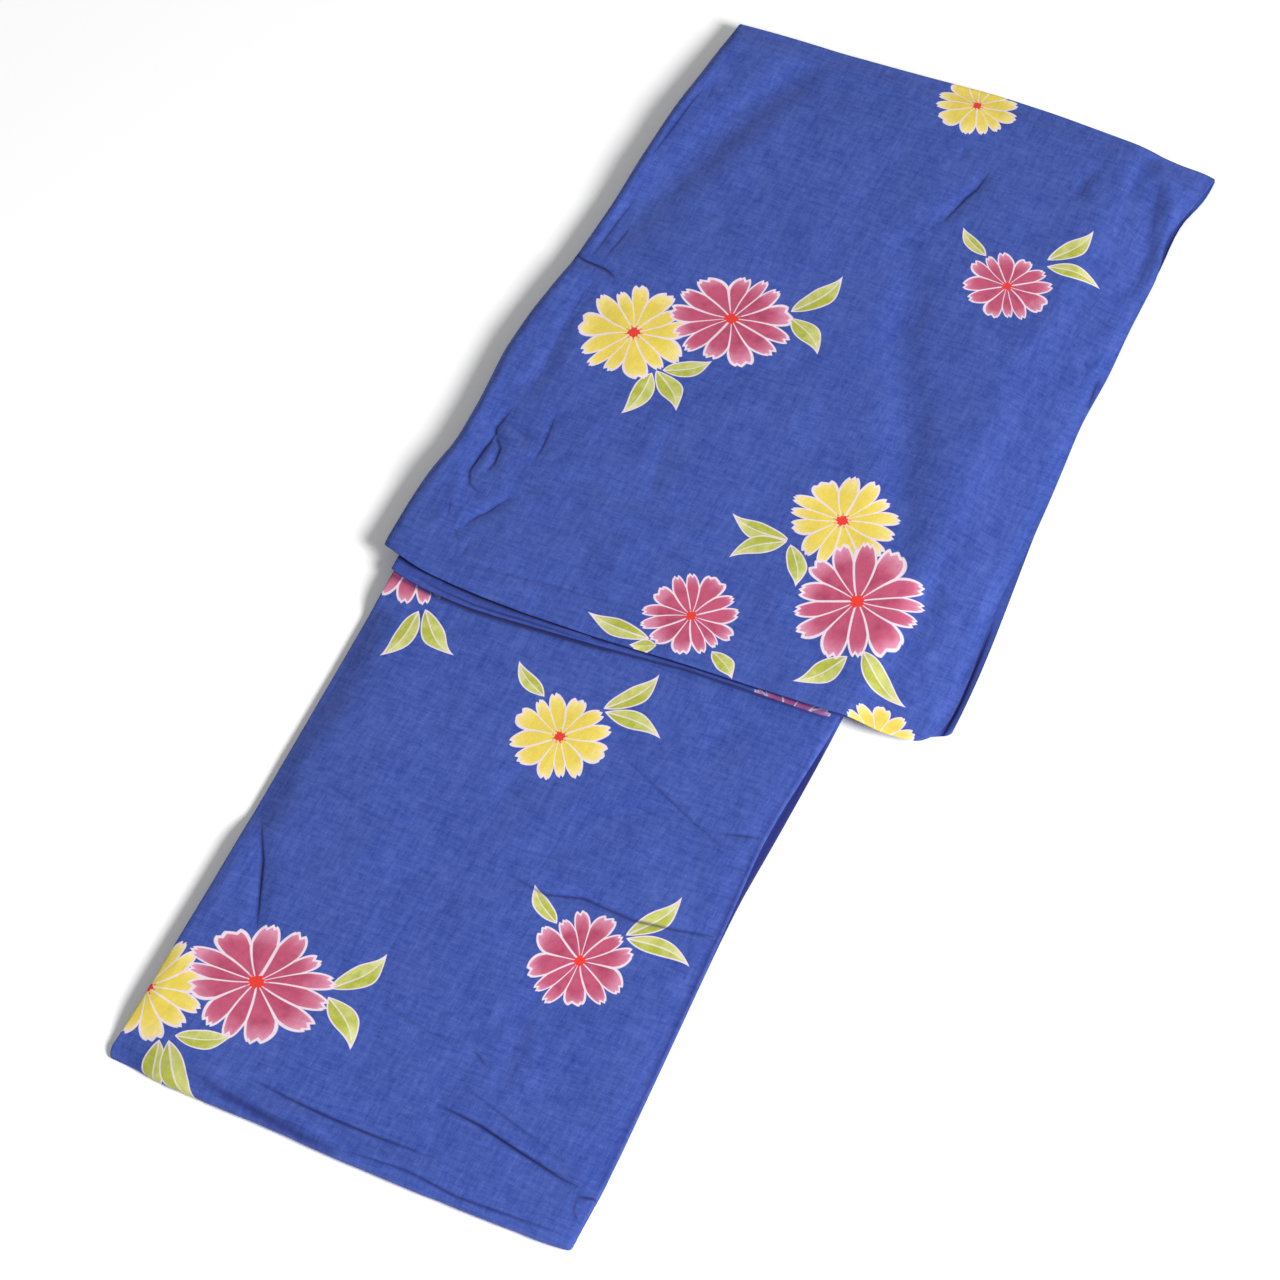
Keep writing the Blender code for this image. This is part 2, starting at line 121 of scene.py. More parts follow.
StripRow = namedtuple("StripRow", "y left right_top right_under")
STRIP = table(
    StripRow,
    (-5, -144, 144, 143.2),
    (20, -143, 144.4, 143.7),
    (46, -142.4, 145, 144.3),
    (87, -142.4, 143.8, 142.9),
    (129, -142.2, 142.3, 141.4),
    (172, -142.4, 140.7, 139.8),
    (215, -142.8, 138.9, 138.3),
    (245, -143.1, 137.3, 137.9),
    (276, -143.4, 135.6, 139.2),
    (304, -143.7, 136.2, 140.2),
    (343, -144.2, 139.2, 141.3),
    (372, -144.3, 142, 141.8),
    (500, -143, 142.5, 141.5),
    (640, -141.5, 142, 141),
    (775, -138.5, 142, 141),
    (869, -129, 142, 141),
)

EndRow = namedtuple("EndRow", "x y")
STRIP_END = table(
    EndRow,
    (-141, 4.4),
    (-128, 3.8),
    (-109, 1.2),
    (-84, 0.3),
    (-34, -0.8),
    (-8, -2.7),
    (41, -4.1),
    (90, -4.7),
    (130, -4.7),
    (145, -3.5),
)

SleeveSideRow = namedtuple("SleeveSideRow", "y left front_right back_right")
SLEEVE_SIDES = table(
    SleeveSideRow,
    (352, -144, 199, 204.2),
    (368, -150.5, 199, 204.2),
    (387, -157.2, 199, 204.2),
    (425, -157.2, 200.2, 204.4),
    (450, -156.2, 199, 203.8),
    (478, -151.6, 196.4, 202.2),
    (513, -152, 194.5, 199.5),
    (556, -155, 196.2, 196),
    (590, -153.3, 195, 194),
    (622, -149.3, 193.3, 192.3),
    (642, -145.9, 192, 191.2),
    (657, -145.3, 191.6, 190.8),
    (695, -143.1, 193.1, 192.2),
    (736, -143, 192.1, 191.2),
    (784, -141.2, 192.6, 191.6),
    (802, -139.6, 189.8, 191.4),
    (815, -138, 186.8, 190.6),
    (828, -137, 188.2, 190.6),
    (847, -135.6, 192, 192),
    (884, -131.2, 197.8, 197.8),
)

SleeveEndRow = namedtuple("SleeveEndRow", "x top front_bottom back_bottom")
SLEEVE_ENDS = table(
    SleeveEndRow,
    (-158, 874, 388.7, 380),
    (-145, 874.2, 384, 373.5),
    (-128, 875.5, 379.5, 369.5),
    (-112, 876.5, 377.5, 367.8),
    (-89, 877.3, 375.8, 366.6),
    (-60, 877.5, 375, 368.2),
    (-7, 880.2, 375.9, 372),
    (45, 883.6, 378.8, 377.2),
    (86, 883.2, 379.9, 377.6),
    (137, 880.3, 382, 378.4),
    (150, 879.4, 383.1, 385.2),
    (166, 880.4, 384.6, 387.6),
    (176, 881.1, 387.3, 390.3),
    (187, 881.1, 389, 392),
    (196, 880.5, 389.8, 398.4),
    (208, 879, 390.5, 406),
)

# Creases
# A crease runs through its points, which are x, y, x, y. rise is the soft ridge, or trough below 0,
# half_width its half width, and core the depth of the groove along its middle and of the shade painted
# along it. A row with rise 0 is only that groove and painted shade.
Crease = namedtuple("Crease", "points rise half_width core", defaults=(0,))
# Painted shadow in the gap under the sleeve's front hem, on its back layer.
SLEEVE_HEM_GAP_SHADOW = (-150, 1364, -128, 1373, -112, 1377, -89, 1380.3, -60, 1381.5, -7, 1386)
SLEEVE_CREASES = table(
    Crease,
    ((-148, 645, -139.5, 642.5, -125, 641, -116, 637), -2.6, 3.5, 1.4),
    ((-148, 634.5, -130, 632.5, -118, 629), 1.8, 5),
    ((-130, 855, -138.5, 775, -141.2, 700, -143.8, 660), 1.8, 5),
    ((-130, 812, -132.5, 793, -134.2, 772, -137, 742), -0.9, 2.5, 0.75),
    ((-131.5, 705, -134, 683, -136.5, 648.5), -0.8, 2.5, 0.6),
    ((-125, 679, -128.5, 649.5), -0.7, 2.5, 0.5),
    ((-126.5, 820, -124.5, 802), -0.8, 4, 0.25),
    ((-70, 862, -80, 840, -94, 806, -106, 770, -117, 725, -123, 695, -130, 668), -4.7, 12),
    ((-80, 795, -90, 745, -96, 712), 1.2, 12),
    ((-129, 625, -129, 585, -126, 550, -126.5, 527), -2.6, 6, 0.15),
    ((-133, 540, -133.5, 527), -1.2, 4, 0.1),
    ((-145, 625, -150, 570, -148.2, 510, -148, 478, -152, 435), 1.7, 4.5),
    ((-130.5, 516.5, -131.8, 503, -133.1, 496, -130.7, 490.5, -132.7, 477, -133.5, 459, -130, 450.5, -120.7,
      444.8), -1.8, 3.5, 1),
    ((-130.5, 490, -124.1, 482.8, -122.1, 470.2, -124, 463), -1.6, 3, 1),
    ((-128.6, 483.2, -127.7, 475, -128.3, 466.2), 1.4, 2.5),
    ((-104, 520, -102.1, 507.8, -100.5, 490.7, -101.2, 482), -1.1, 3, 0.7),
    ((-130, 498.5, -118.9, 491.2, -102, 484), 2.6, 4),
    ((-128.1, 504, -116.7, 498.5, -111, 494), -1.8, 4, 0.25),
    ((-101.5, 450, -106.6, 442, -109.7, 434.6, -114.9, 427.5, -119, 418), -1.8, 3.5, 0.65),
    ((-109, 470, -97.3, 463, -83.5, 461.8), -1.3, 4, 0.22),
    ((-133.9, 433.5, -131.1, 421.5), -1.1, 3, 0.35),
    ((-123.4, 415.3, -118.6, 409.1), -1, 3, 0.4),
    ((-109.7, 408.3, -110, 398.7), -1, 3, 0.3),
    ((-130, 392.5, -103, 392.5, -56, 399, -8, 402), -0.7, 2.5, 0.3),
    ((-36, 540, -24, 480), -1.2, 6, 0.1),
    ((-80, 476, -60, 481, -21, 478, 19, 484), -1, 6),
    ((-80, 464, -20, 466, 20, 470), 0.9, 7),
    ((43.5, 832, 44.4, 820), -0.7, 3, 0.22),
    # The next four troughs each have a row with rise 0 after them, which paints a band of shade along the
    # trough.
    ((64.5, 816, 63, 798, 59.5, 788, 56, 774.4, 51.5, 760), -2.2, 5),
    ((65.5, 815, 64.2, 799.1, 60.4, 788.7, 57.3, 774.4, 54.2, 764.4), 0, 3, 0.95),
    ((38, 795, 33, 760), 1, 9),
    ((126.8, 846, 124.9, 834.7, 125.7, 819), -1.6, 5),
    ((127.5, 848, 125.8, 834.7, 126.2, 817), 0, 7, 0.35),
    ((154, 874, 154.6, 852.2, 156, 838), -1.5, 5),
    ((155.2, 874, 155.6, 852.2, 156.6, 835), 0, 8, 0.3),
    ((166, 854, 168.2, 845.2, 172.3, 829.6, 181.2, 799.5, 182, 780, 181.5, 764), -2.8, 6.5),
    ((167.2, 856, 169.4, 845.2, 173.5, 829.6, 182, 799.5, 182.8, 780, 182, 760), 0, 9, 0.5),
    ((165.4, 870, 180.4, 841.9, 186.8, 830, 190, 805), 2, 5.5),
    ((173.6, 702, 178.9, 695), -0.9, 3, 0.4),
    ((188, 693, 190.3, 666), -0.9, 3, 0.6),
    ((41, 735, 60, 699.4, 68, 660, 80, 633.3, 93, 610, 100, 585.4, 115, 545, 130, 510), -4.6, 12),
    ((96, 625, 103.5, 606, 108, 585), -0.8, 7),
    ((100, 680, 118, 640, 138, 580), 1.2, 14),
    ((145.3, 700, 147, 675, 145, 645), -1.4, 8),
    ((166, 530, 168, 470, 174, 410), 1.3, 9),
    ((156, 456, 169, 450, 179, 456), 1, 4),
    ((154, 447, 170, 440, 176, 425), -1.2, 4, 0.15),
    ((-139, 456, -133, 430, -138, 408), 1.2, 3.5),
    ((-115, 466, -108, 456), 1.4, 3),
    ((158, 500, 161, 476), -1.3, 6),
    ((-58, 715, -30, 665), 0.8, 20),
    ((5, 600, -10, 430), 0.7, 26),
    # Painted shadow in the gap under the front hem, wider on the left.
    (SLEEVE_HEM_GAP_SHADOW + (20, 1387.9), 0, 5.5, 1.7),
    (SLEEVE_HEM_GAP_SHADOW + (45, 1389.9, 86, 1388.5, 150, 1381.5), 0, 3.2, 1.1),
    ((-133, 1379, -112, 1385, -89, 1387.8, -60, 1387.2, -15, 1389.5), 0, 2.5, 0.75),
    # Painted shadow in the gaps at the sleeve's right edge and at its upper right notch.
    ((190, 1406, 199.5, 1395, 199.5, 1374.1, 200.7, 1336.1, 199.5, 1311.1, 197, 1270), 0, 4.5, 1.5),
    ((192.5, 915, 190.3, 937.1, 190, 950.1, 192, 970), 0, 5, 1.7),
)
# Painted shadow on the strip under the sleeve's back hem.
SLEEVE_HEM_SHADOW = (-150, 372, -128, 368.8, -112, 367.1, -89, 365.9, -60, 367.5, -7, 371.3)
STRIP_CREASES = table(
    Crease,
    ((-135, 178, -122, 155, -104.5, 112), -1.8, 5, 1.1),
    ((-142, 150, -135, 125), 1.4, 7),
    ((-126, 224, -90, 211, -56.6, 206.2), -0.6, 5, 0.15),
    ((8, 203.5, 36, 199, 56, 205, 88, 203, 114, 207, 139, 212.5), -1.3, 4, 0.85),
    ((20, 213, 120, 217), 0.8, 8),
    ((35, 306, 70, 290, 95, 278, 115, 270.5), -0.6, 4, 0.45),
    ((110, 278.5, 138, 286), -0.9, 4, 0.6),
    ((120, 259, 138, 261), -0.5, 4, 0.3),
    ((29, 257, 56, 268, 78, 282, 96, 276), -0.7, 6, 0.12),
    ((-26.4, 101.5, -9, 93, 15.5, 89, 36.9, 90.3), -0.4, 4, 0.25),
    ((42.5, 88.5, 53.5, 81), -0.8, 3, 0.45),
    ((42.5, 69, 53.1, 63, 68.3, 58.4, 98.6, 49.2, 119, 42.5), -0.6, 4, 0.42),
    ((38.7, 48.1, 66.7, 45, 96, 38, 122.7, 32.2, 134, 31.5), -1.8, 5, 1.2),
    ((45, 58, 90, 53, 135, 43), 1.2, 7),
    ((133.6, 25.7, 148, 29), -0.8, 3, 0.9),
    ((133, 30, 136, 16, 143, 10), -0.6, 3, 0.35),
    ((-64.5, 21.5, -40, 18.2, -13.1, 16, 13.4, 15.4, 50, 16), -1.3, 4, 0.95),
    ((-70, 11.5, 50, 8.5), 0.9, 4),
    ((-88, 11, -59.6, 6.5, -31, 3, -4.4, 0.8), -1, 3),
    # Painted shade in a broad band along the bottom edge, and in a line near it.
    ((-100, 12.5, -75, 6.8, -50, 3, -20, -0.5, 5, -2), 0, 8.5, 0.85),
    ((5, 0.5, 41, 3, 73, -1, 134, 1), 0, 3, 0.75),
    ((-14, 272, -13, 240), -0.8, 8),
    ((83, 360, 86, 322), -1.1, 8),
    ((59, 132, 63, 96, 66, 70), -1, 6),
    ((-90, 290, -60, 140), 0.7, 22),
    ((10, 250, 4, 109), 0.7, 22),
    # Painted shadow under the sleeve's back hem, wider on the left.
    (SLEEVE_HEM_SHADOW + (20, 374), 0, 5, 1.6),
    (SLEEVE_HEM_SHADOW + (45, 376.5, 86, 376.9, 145, 377.9), 0, 2.8, 0.95),
    # Painted shade along the strip's right edge, which darkens the curl that the lamp lights.
    ((142.6, 0, 143, 46, 141.8, 87, 140.3, 129, 138.7, 172, 136.9, 215, 135.3, 245, 133.6, 276, 134.2, 304,
      137.2, 350), 0, 5.5, 0.7),
)

# How far a crease's line, its groove and painted shade, reaches, and how much nearer a line 1 mm deeper
# counts.
CREASE_REACH = 0.012
DEEPER_WINS_BY = 0.0008

# Where the whole folded strip is pressed thinner: along its points, out to a reach, by a share.
Pressed = namedtuple("Pressed", "points reach share")
STRIP_PRESSED = table(
    Pressed,
    ((-147, 335, -144, 284, -146, 225, -142, 185), 13, 0.58),
    ((-148, 0, -142, 6), 24, 0.6),
)
# Painted shadow along the seam where the hem half shows beside the upper one.
SEAM_PAINTED_SHADOW = table(
    Crease,
    ((136.5, 200, 137.8, 245, 138.8, 276, 139.8, 304, 140.8, 380), 0, 14, 2.4),
)
# The underside and the hidden sides lie flat, with a few creases of the same kind: grooves with painted
# shade along them.
UNDER_CREASES = table(
    Crease,
    ((-120, 100, -60, 118, 10, 115), 0, 4, 0.25),
    ((30, 210, 80, 225, 130, 220), 0, 4, 0.22),
    ((-90, 380, -50, 330), 0, 4, 0.15),
    ((20, 520, 90, 500, 120, 470), 0, 4, 0.25),
    ((-130, 630, -70, 640), 0, 4, 0.18),
    ((50, 710, 100, 690), 0, 4, 0.2),
    ((-120, 35, -30, 28, 60, 30), 0, 4, 0.25),
)

# Print
# Places are on the cloth. radius_x and radius_y are to the petals' tips.
Flower = namedtuple("Flower", "x y radius_x radius_y colour petals turn")
Leaf = namedtuple("Leaf", "tip_x tip_y base_x base_y half_width bend")
SLEEVE_FLOWERS = table(
    Flower,
    (37, 869, 27, 29, "yellow", 12, 0.1),
    (111.5, 730, 29, 29, "pink", 12, 0.35),
    (-87, 600.5, 36.2, 39.2, "yellow", 13, 0.2),
    (-36, 635.5, 42.2, 39.5, "pink", 13, 0.05),
    (88.5, 515, 35, 36.5, "yellow", 13, 0.15),
    (120, 462, 39.5, 47, "pink", 13, 0.3),
    (34, 412, 30, 33, "pink", 13, 0.1),
    (166, 377.8, 24.5, 25.2, "yellow", 11, 0),
)
SLEEVE_LEAVES = table(
    Leaf,
    (68, 765.5, 90.5, 748, 5, 0.1),
    (144.5, 796.5, 126.5, 760.5, 6.8, -0.12),
    (164.5, 756.5, 128, 755.5, 6, 0.1),
    (14, 697, -4.5, 655.5, 7.5, -0.12),
    (24.5, 629.5, -3, 651, 7.6, 0.14),
    (-33, 599.5, -58.5, 579.5, 7, -0.12),
    (-37.5, 552.5, -62, 578, 7.5, 0.12),
    (-68, 537, -63.5, 575.5, 7.2, 0.1),
    (25, 494, 65.5, 488, 7, 0.12),
    (37, 461, 64.5, 487, 7, -0.12),
    (82, 456.5, 67, 485.7, 6.5, 0.1),
    (107, 392, 130.3, 422.2, 7.8, 0.12),
    (174, 408, 136.8, 429.5, 8, -0.14),
    (-24.2, 390.4, 18.4, 386.5, 6.6, 0.06),
    (8.5, 378, 24, 384, 5, 0.05),
    (74.5, 379, 55.5, 393, 6, 0.1),
)
STRIP_FLOWERS = table(
    Flower,
    (-133.5, 387, 34, 36, "pink", 13, 0.2),
    (-2.5, 303.5, 30, 33.5, "yellow", 12, 0.1),
    (72.5, 166, 30.5, 34.5, "pink", 12, 0.25),
    (-143.5, 51.5, 36.5, 37.5, "yellow", 13, 0),
    (-88, 79.5, 45.5, 40.5, "pink", 13, 0.1),
)
STRIP_LEAVES = table(
    Leaf,
    (-125, 313.5, -117.5, 353.5, 6.8, 0.12),
    (-83.5, 332, -114.5, 356, 7.2, -0.14),
    (-47.5, 344.5, -22.5, 326, 5.5, 0.1),
    (33, 368.5, 12.5, 332, 6.8, -0.12),
    (52.5, 325.5, 14, 330.5, 6.8, 0.12),
    (27.5, 203.5, 50.5, 183.5, 5.5, 0.1),
    (108, 230, 89, 192, 6.8, -0.12),
    (131.5, 187, 90, 190.5, 6.5, 0.12),
    (-29, 127, -48.5, 92, 7.8, -0.14),
    (-20, 59.5, -47, 87, 7.8, 0.14),
    (-83.6, 43.4, -114.1, 29, 7, -0.12),
    (-115.5, -17.5, -120.7, 23.2, 7.4, 0.1),
    (-78.5, -12, -115.8, 25.2, 8.4, -0.12),
)

# Clusters of the same print for the sides that the view from above doesn't show.
Cluster = namedtuple("Cluster", "x y kind flip")
UNDER_CLUSTERS = table(
    Cluster,
    (70, -90, "pair", 1),
    (-80, -175, "pink", 1),
    (65, -250, "yellow", -1),
    (-75, -335, "pair", -1),
    (80, -430, "pink", 1),
    (-60, -495, "yellow", 1),
    (60, -580, "pair", 1),
    (-85, -650, "pink", -1),
    (50, -735, "yellow", 1),
)
SLEEVE_BACK_CLUSTERS = table(
    Cluster,
    (-70, 970, "pair", 1),
    (100, 1020, "pink", -1),
    (-90, 1130, "yellow", 1),
    (80, 1170, "pair", -1),
    (-50, 1280, "pink", 1),
    (130, 1315, "yellow", 1),
    (113, 1404, "pink", 1),
)
INSIDE_CLUSTERS = table(
    Cluster,
    (130, 760, "pink", 1),
    (145, 580, "yellow", 1),
    (135, 460, "pair", 1),
    (135, 1050, "pair", -1),
    (140, 1200, "pink", 1),
    (-60, 800, "yellow", 1),
    (-50, 940, "pink", 1),
)

# The cloth's colours as seen, 0 to 255, which srgb() makes linear.
BLUE_RGB = (58, 79, 156)
# The ground of the layers inside the fold: the same blue, darker, as painted shade.
SHADED_BLUE_RGB = (50, 66, 136)
PINK_RGB = (182, 80, 110)
PINK_DEEP_RGB = (160, 60, 92)
PINK_TIP_RGB = (208, 136, 162)
YELLOW_RGB = (221, 198, 86)
YELLOW_DEEP_RGB = (204, 184, 54)
YELLOW_TIP_RGB = (230, 212, 138)
OUTLINE_RGB = (222, 206, 217)
CENTRE_RGB = (217, 55, 46)
LEAF_RGB = (164, 170, 58)
LEAF_PALE_RGB = (206, 208, 138)
WRONG_SIDE_RGB = (54, 70, 148)
# Painted shade along creases, gaps and seams: its colour, how much a line 1 mm deep darkens the cloth, and
# the most it darkens.
SHADOW_RGB = (23, 28, 93)
SHADOW_PER_MM = 0.80
SHADOW_AT_MOST = 0.96
THREAD_PITCH = 0.00075


# Helpers


def smooth(value):
    value = np.clip(value, 0.0, 1.0)
    return value * value * (3 - 2 * value)


def eased(value, ends):
    """0 before the first end, 1 after the last, smooth between."""
    return smooth((value - ends[0]) / (ends[1] - ends[0]))


def mix(a, b, share):
    return a + (b - a) * share


def column(rows, name):
    return np.array([getattr(row, name) for row in rows])


def read(rows, key, at, name, soften=0.0):
    """A table's column at the given places, rounded over a length where soften is given."""
    keys = column(rows, key)
    values = column(rows, name)
    if soften == 0.0:
        return np.interp(at, keys, values)
    total = 0.0
    for step in (-1.0, -0.5, 0.0, 0.5, 1.0):
        total = total + np.interp(at + step * soften, keys, values)
    return total / 5


def ripple(x, y, seed, shortest, longest, height):
    """A gentle uneven swell of the cloth, from a few crossing waves."""
    random = np.random.default_rng(seed)
    total = np.zeros(np.broadcast(x, y).shape)
    for _ in range(14):
        length = math.exp(random.uniform(math.log(shortest), math.log(longest)))
        angle = random.uniform(0, math.pi)
        start = random.uniform(0, 2 * math.pi)
        wave = (x * math.cos(angle) + y * math.sin(angle)) * 2 * math.pi / length
        total += np.sin(wave + start)
    return total * height / 3.7


def along_crease(points, x, y):
    """Signed distance to a crease, and how far along it, 0 to 1."""
    nearest = np.full(x.shape, 9.0)
    signed = np.full(x.shape, 9.0)
    at = np.zeros(x.shape)
    lengths = [math.dist(a, b) for a, b in zip(points, points[1:])]
    whole = sum(lengths)
    before = 0.0
    for a, b, length in zip(points, points[1:], lengths):
        ux = (b[0] - a[0]) / length
        uy = (b[1] - a[1]) / length
        t = (x - a[0]) * ux + (y - a[1]) * uy
        across = (x - a[0]) * uy - (y - a[1]) * ux
        inside = np.clip(t, 0, length)
        far = np.hypot(across, t - inside)
        closer = far < nearest
        nearest = np.where(closer, far, nearest)
        signed = np.where(closer, np.copysign(far, across), signed)
        at = np.where(closer, (before + inside) / whole, at)
        before += length
    return signed, at


def taper(at):
    """A crease is deepest about its middle and fades out at both ends."""
    return np.sqrt(np.clip(np.sin(np.clip(at, 0, 1) * math.pi), 0, 1))


def crease_rise(creases, x, y):
    """The soft part of the creases, metres."""
    total = np.zeros(x.shape)
    for crease in creases:
        if crease.rise == 0:
            continue
        signed, at = along_crease(crease.points, x, y)
        total += crease.rise * np.exp(-(signed / crease.half_width) ** 2) * (0.35 + 0.65 * taper(at))
    return total


def at_least(value, least, softness=0.0003):
    """The value, eased off where it would go below the least one."""
    over = np.clip((value - least) / softness, -40, 40)
    return least + softness * np.log1p(np.exp(over)) + np.maximum(value - least - 40 * softness, 0)


def sag(y):
    return SAG * eased(y, SAG_Y)


def strip_top(y):
    return 2 * ROLL_RADIUS + eased(y, RISE_Y) * (SLOT - 2 * (ROLL_RADIUS - HALF_THICK)) - sag(y)


def pressed(x, y):
    """The share of its height that the folded strip keeps at a place."""
    kept = np.ones(np.broadcast(x, y).shape)
    for row in STRIP_PRESSED:
        away, _ = along_crease(row.points, x + 0 * y, y + 0 * x)
        kept = kept * (1 - row.share * np.exp(-(away / row.reach) ** 2))
    return kept


def roll_middle_y(x):
    return read(STRIP_END, "x", x, "y", 0.006) + ROLL_RADIUS


class Path:
    """Rows of places along the folded strip: the upper half, the roll at its end, the hem half."""

    def __init__(self, upper, roll_steps, lower):
        self.kind = np.array([0] * len(upper) + [1] * (roll_steps + 1) + [2] * len(lower))
        angles = [math.pi * i / roll_steps for i in range(roll_steps + 1)]
        self.value = np.array(list(upper) + angles + list(lower))
        self.under = np.where(self.kind == 1, self.value / math.pi, self.kind / 2.0)
        self.y = np.where(self.kind == 1, 0.0, self.value)

    def sides(self):
        left = read(STRIP, "y", self.y, "left", 0.008)
        top = read(STRIP, "y", self.y, "right_top", 0.010)
        below = read(STRIP, "y", self.y, "right_under", 0.010)
        return left + 0.0008 * self.under, mix(top, below, self.under)

    def run(self, x):
        """The roll's axis, and the place along each half, moved with the uneven roll near it."""
        axis = roll_middle_y(x)
        value = self.value[:, None]
        near_roll = np.clip(1 - value / ROLL_SHIFT_LENGTH, 0, 1)
        return axis, value, self.kind[:, None], value + (axis - ROLL_RADIUS) * near_roll

    def place(self, x, depth, lift=0.0):
        """Points at x (rows, columns) and a depth below the strip's outer face."""
        axis, value, kind, run_y = self.run(x)
        reach = ROLL_RADIUS - depth + lift
        turn_y = axis - reach * np.sin(value)
        turn_z = ROLL_RADIUS + reach * np.cos(value)
        y = np.where(kind == 1, turn_y, run_y)
        z = np.where(kind == 0, strip_top(value) - depth + lift, np.where(kind == 1, turn_z, depth))
        x, y, z = np.broadcast_arrays(x, y, z)
        low = z * pressed(x, y)
        raised = np.where(kind == 0, lift, 0) + low - z
        return np.stack((x + LIFT_SHIFT[0] * raised, y + LIFT_SHIFT[1] * raised, low), axis=-1)

    def flat_y(self, x):
        """Place along the cloth, which goes on below 0 round the roll and on the underside."""
        axis, value, kind, run = self.run(x)
        below = 2 * axis - ROLL_RADIUS * math.pi - run
        return np.where(kind == 0, run, np.where(kind == 1, axis - ROLL_RADIUS * value, below))


def spaced(start, end, step):
    count = max(1, round(abs(end - start) / step))
    return list(np.linspace(start, end, count + 1)[:-1])


# The print, set out on the cloth


def cluster_print(cluster):
    """Flowers and leaves of one cluster of the print."""
    x, y, kind, flip = cluster
    if kind == "pair":
        flowers = [
            Flower(x - 0.026 * flip, y - 0.018, 0.0355, 0.0365, "yellow", 13, 0.2),
            Flower(x + 0.026 * flip, y + 0.016, 0.0395, 0.0375, "pink", 13, 0.1),
        ]
        leaves = [
            Leaf(x + 0.076 * flip, y + 0.078, x + 0.056 * flip, y + 0.036, 0.0076, -0.12 * flip),
            Leaf(x + 0.086 * flip, y + 0.010, x + 0.062 * flip, y + 0.030, 0.0072, 0.12 * flip),
            Leaf(x + 0.026 * flip, y - 0.020, x + 0.002 * flip, y - 0.040, 0.0070, -0.12 * flip),
            Leaf(x + 0.020 * flip, y - 0.066, x, y - 0.042, 0.0074, 0.12 * flip),
            Leaf(x - 0.010 * flip, y - 0.080, x - 0.004 * flip, y - 0.044, 0.0070, 0.10),
        ]
        return flowers, leaves
    flowers = [Flower(x, y, 0.0300, 0.0330, kind, 12, 0.15)]
    leaves = [
        Leaf(x - 0.045 * flip, y + 0.040, x - 0.020 * flip, y + 0.020, 0.0055, 0.10 * flip),
        Leaf(x + 0.036 * flip, y + 0.064, x + 0.016 * flip, y + 0.026, 0.0068, -0.12 * flip),
        Leaf(x + 0.056 * flip, y + 0.022, x + 0.018 * flip, y + 0.024, 0.0066, 0.12 * flip),
    ]
    return flowers, leaves


def all_of(flowers, leaves, clusters):
    flowers = list(flowers)
    leaves = list(leaves)
    for cluster in clusters:
        more_flowers, more_leaves = cluster_print(cluster)
        flowers += more_flowers
        leaves += more_leaves
    return flowers, leaves


FAR = 9.0


def two_slots(count, middles, sizes, places, reaches):
    """For each face, the last two motifs that reach it, the upper one first."""
    upper = np.full(count, -1)
    lower = np.full(count, -1)
    for index, (place, reach) in enumerate(zip(places, reaches)):
        hit = np.hypot(middles[:, 0] - place[0], middles[:, 1] - place[1]) < reach + sizes
        lower = np.where(hit, upper, lower)
        upper = np.where(hit, index, upper)
    return upper, lower


def flower_slot(chosen, flowers, corners):
    """At each corner, its place in the chosen flower, in radii, and the flower's kind."""
    at = np.full((len(chosen), 4, 3), FAR)
    look = np.zeros((len(chosen), 4, 3))
    for index, flower in enumerate(flowers):
        mine = chosen == index
        if not mine.any():
            continue
        at[mine, :, 0] = (corners[mine, :, 0] - flower.x) / flower.radius_x
        at[mine, :, 1] = (corners[mine, :, 1] - flower.y) / flower.radius_y
        at[mine, :, 2] = flower.petals
        look[mine, :, 0] = 1.0 if flower.colour == "pink" else 0.0
        look[mine, :, 1] = index + 1
        look[mine, :, 2] = flower.turn
    return at, look


def leaf_slot(chosen, leaves, corners):
    """At each corner, its place along and across the chosen leaf, in leaf lengths, and its form."""
    at = np.full((len(chosen), 4, 3), FAR)
    look = np.zeros((len(chosen), 4, 3))
    for index, leaf in enumerate(leaves):
        mine = chosen == index
        if not mine.any():
            continue
        along = np.array((leaf.tip_x - leaf.base_x, leaf.tip_y - leaf.base_y))
        length = float(np.hypot(*along))
        along /= length
        dx = corners[mine, :, 0] - leaf.base_x
        dy = corners[mine, :, 1] - leaf.base_y
        at[mine, :, 0] = (dx * along[0] + dy * along[1]) / length
        at[mine, :, 1] = (dy * along[0] - dx * along[1]) / length
        at[mine, :, 2] = leaf.half_width / length
        look[mine, :, 0] = leaf.bend
        look[mine, :, 1] = index * 1.3 + 0.2
        look[mine, :, 2] = length
    return at, look


def crease_slot(creases, middles, corners):
    """At each corner, the distance in mm to the nearest sharp crease, its depth in mm and its spread, which
    set the crease's groove and the shade painted along it.
    """
    best = np.full(len(middles), CREASE_REACH)
    chosen = np.full(len(middles), -1)
    sharp = [crease for crease in creases if crease.core > 0]
    for index, crease in enumerate(sharp):
        signed, at = along_crease(crease.points, middles[:, 0], middles[:, 1])
        away = np.abs(signed) - DEEPER_WINS_BY * crease.core * taper(at)
        near = (np.abs(signed) < CREASE_REACH) & (away < best)
        chosen = np.where(near, index, chosen)
        best = np.where(near, away, best)
    out = np.zeros((len(middles), 4, 3))
    out[:, :, 0] = 99.0
    for index, crease in enumerate(sharp):
        mine = chosen == index
        if not mine.any():
            continue
        signed, at = along_crease(crease.points, corners[mine, :, 0], corners[mine, :, 1])
        out[mine, :, 0] = signed * 1000
        out[mine, :, 1] = crease.core * taper(at)
        out[mine, :, 2] = 1.0 if crease.rise else crease.half_width * 1000 / 3
    return out


# Thin cloth


def add_vectors(mesh, name, domain, values):
    layer = mesh.attributes.new(name, "FLOAT_VECTOR", domain)
    layer.data.foreach_set("vector", values.ravel())


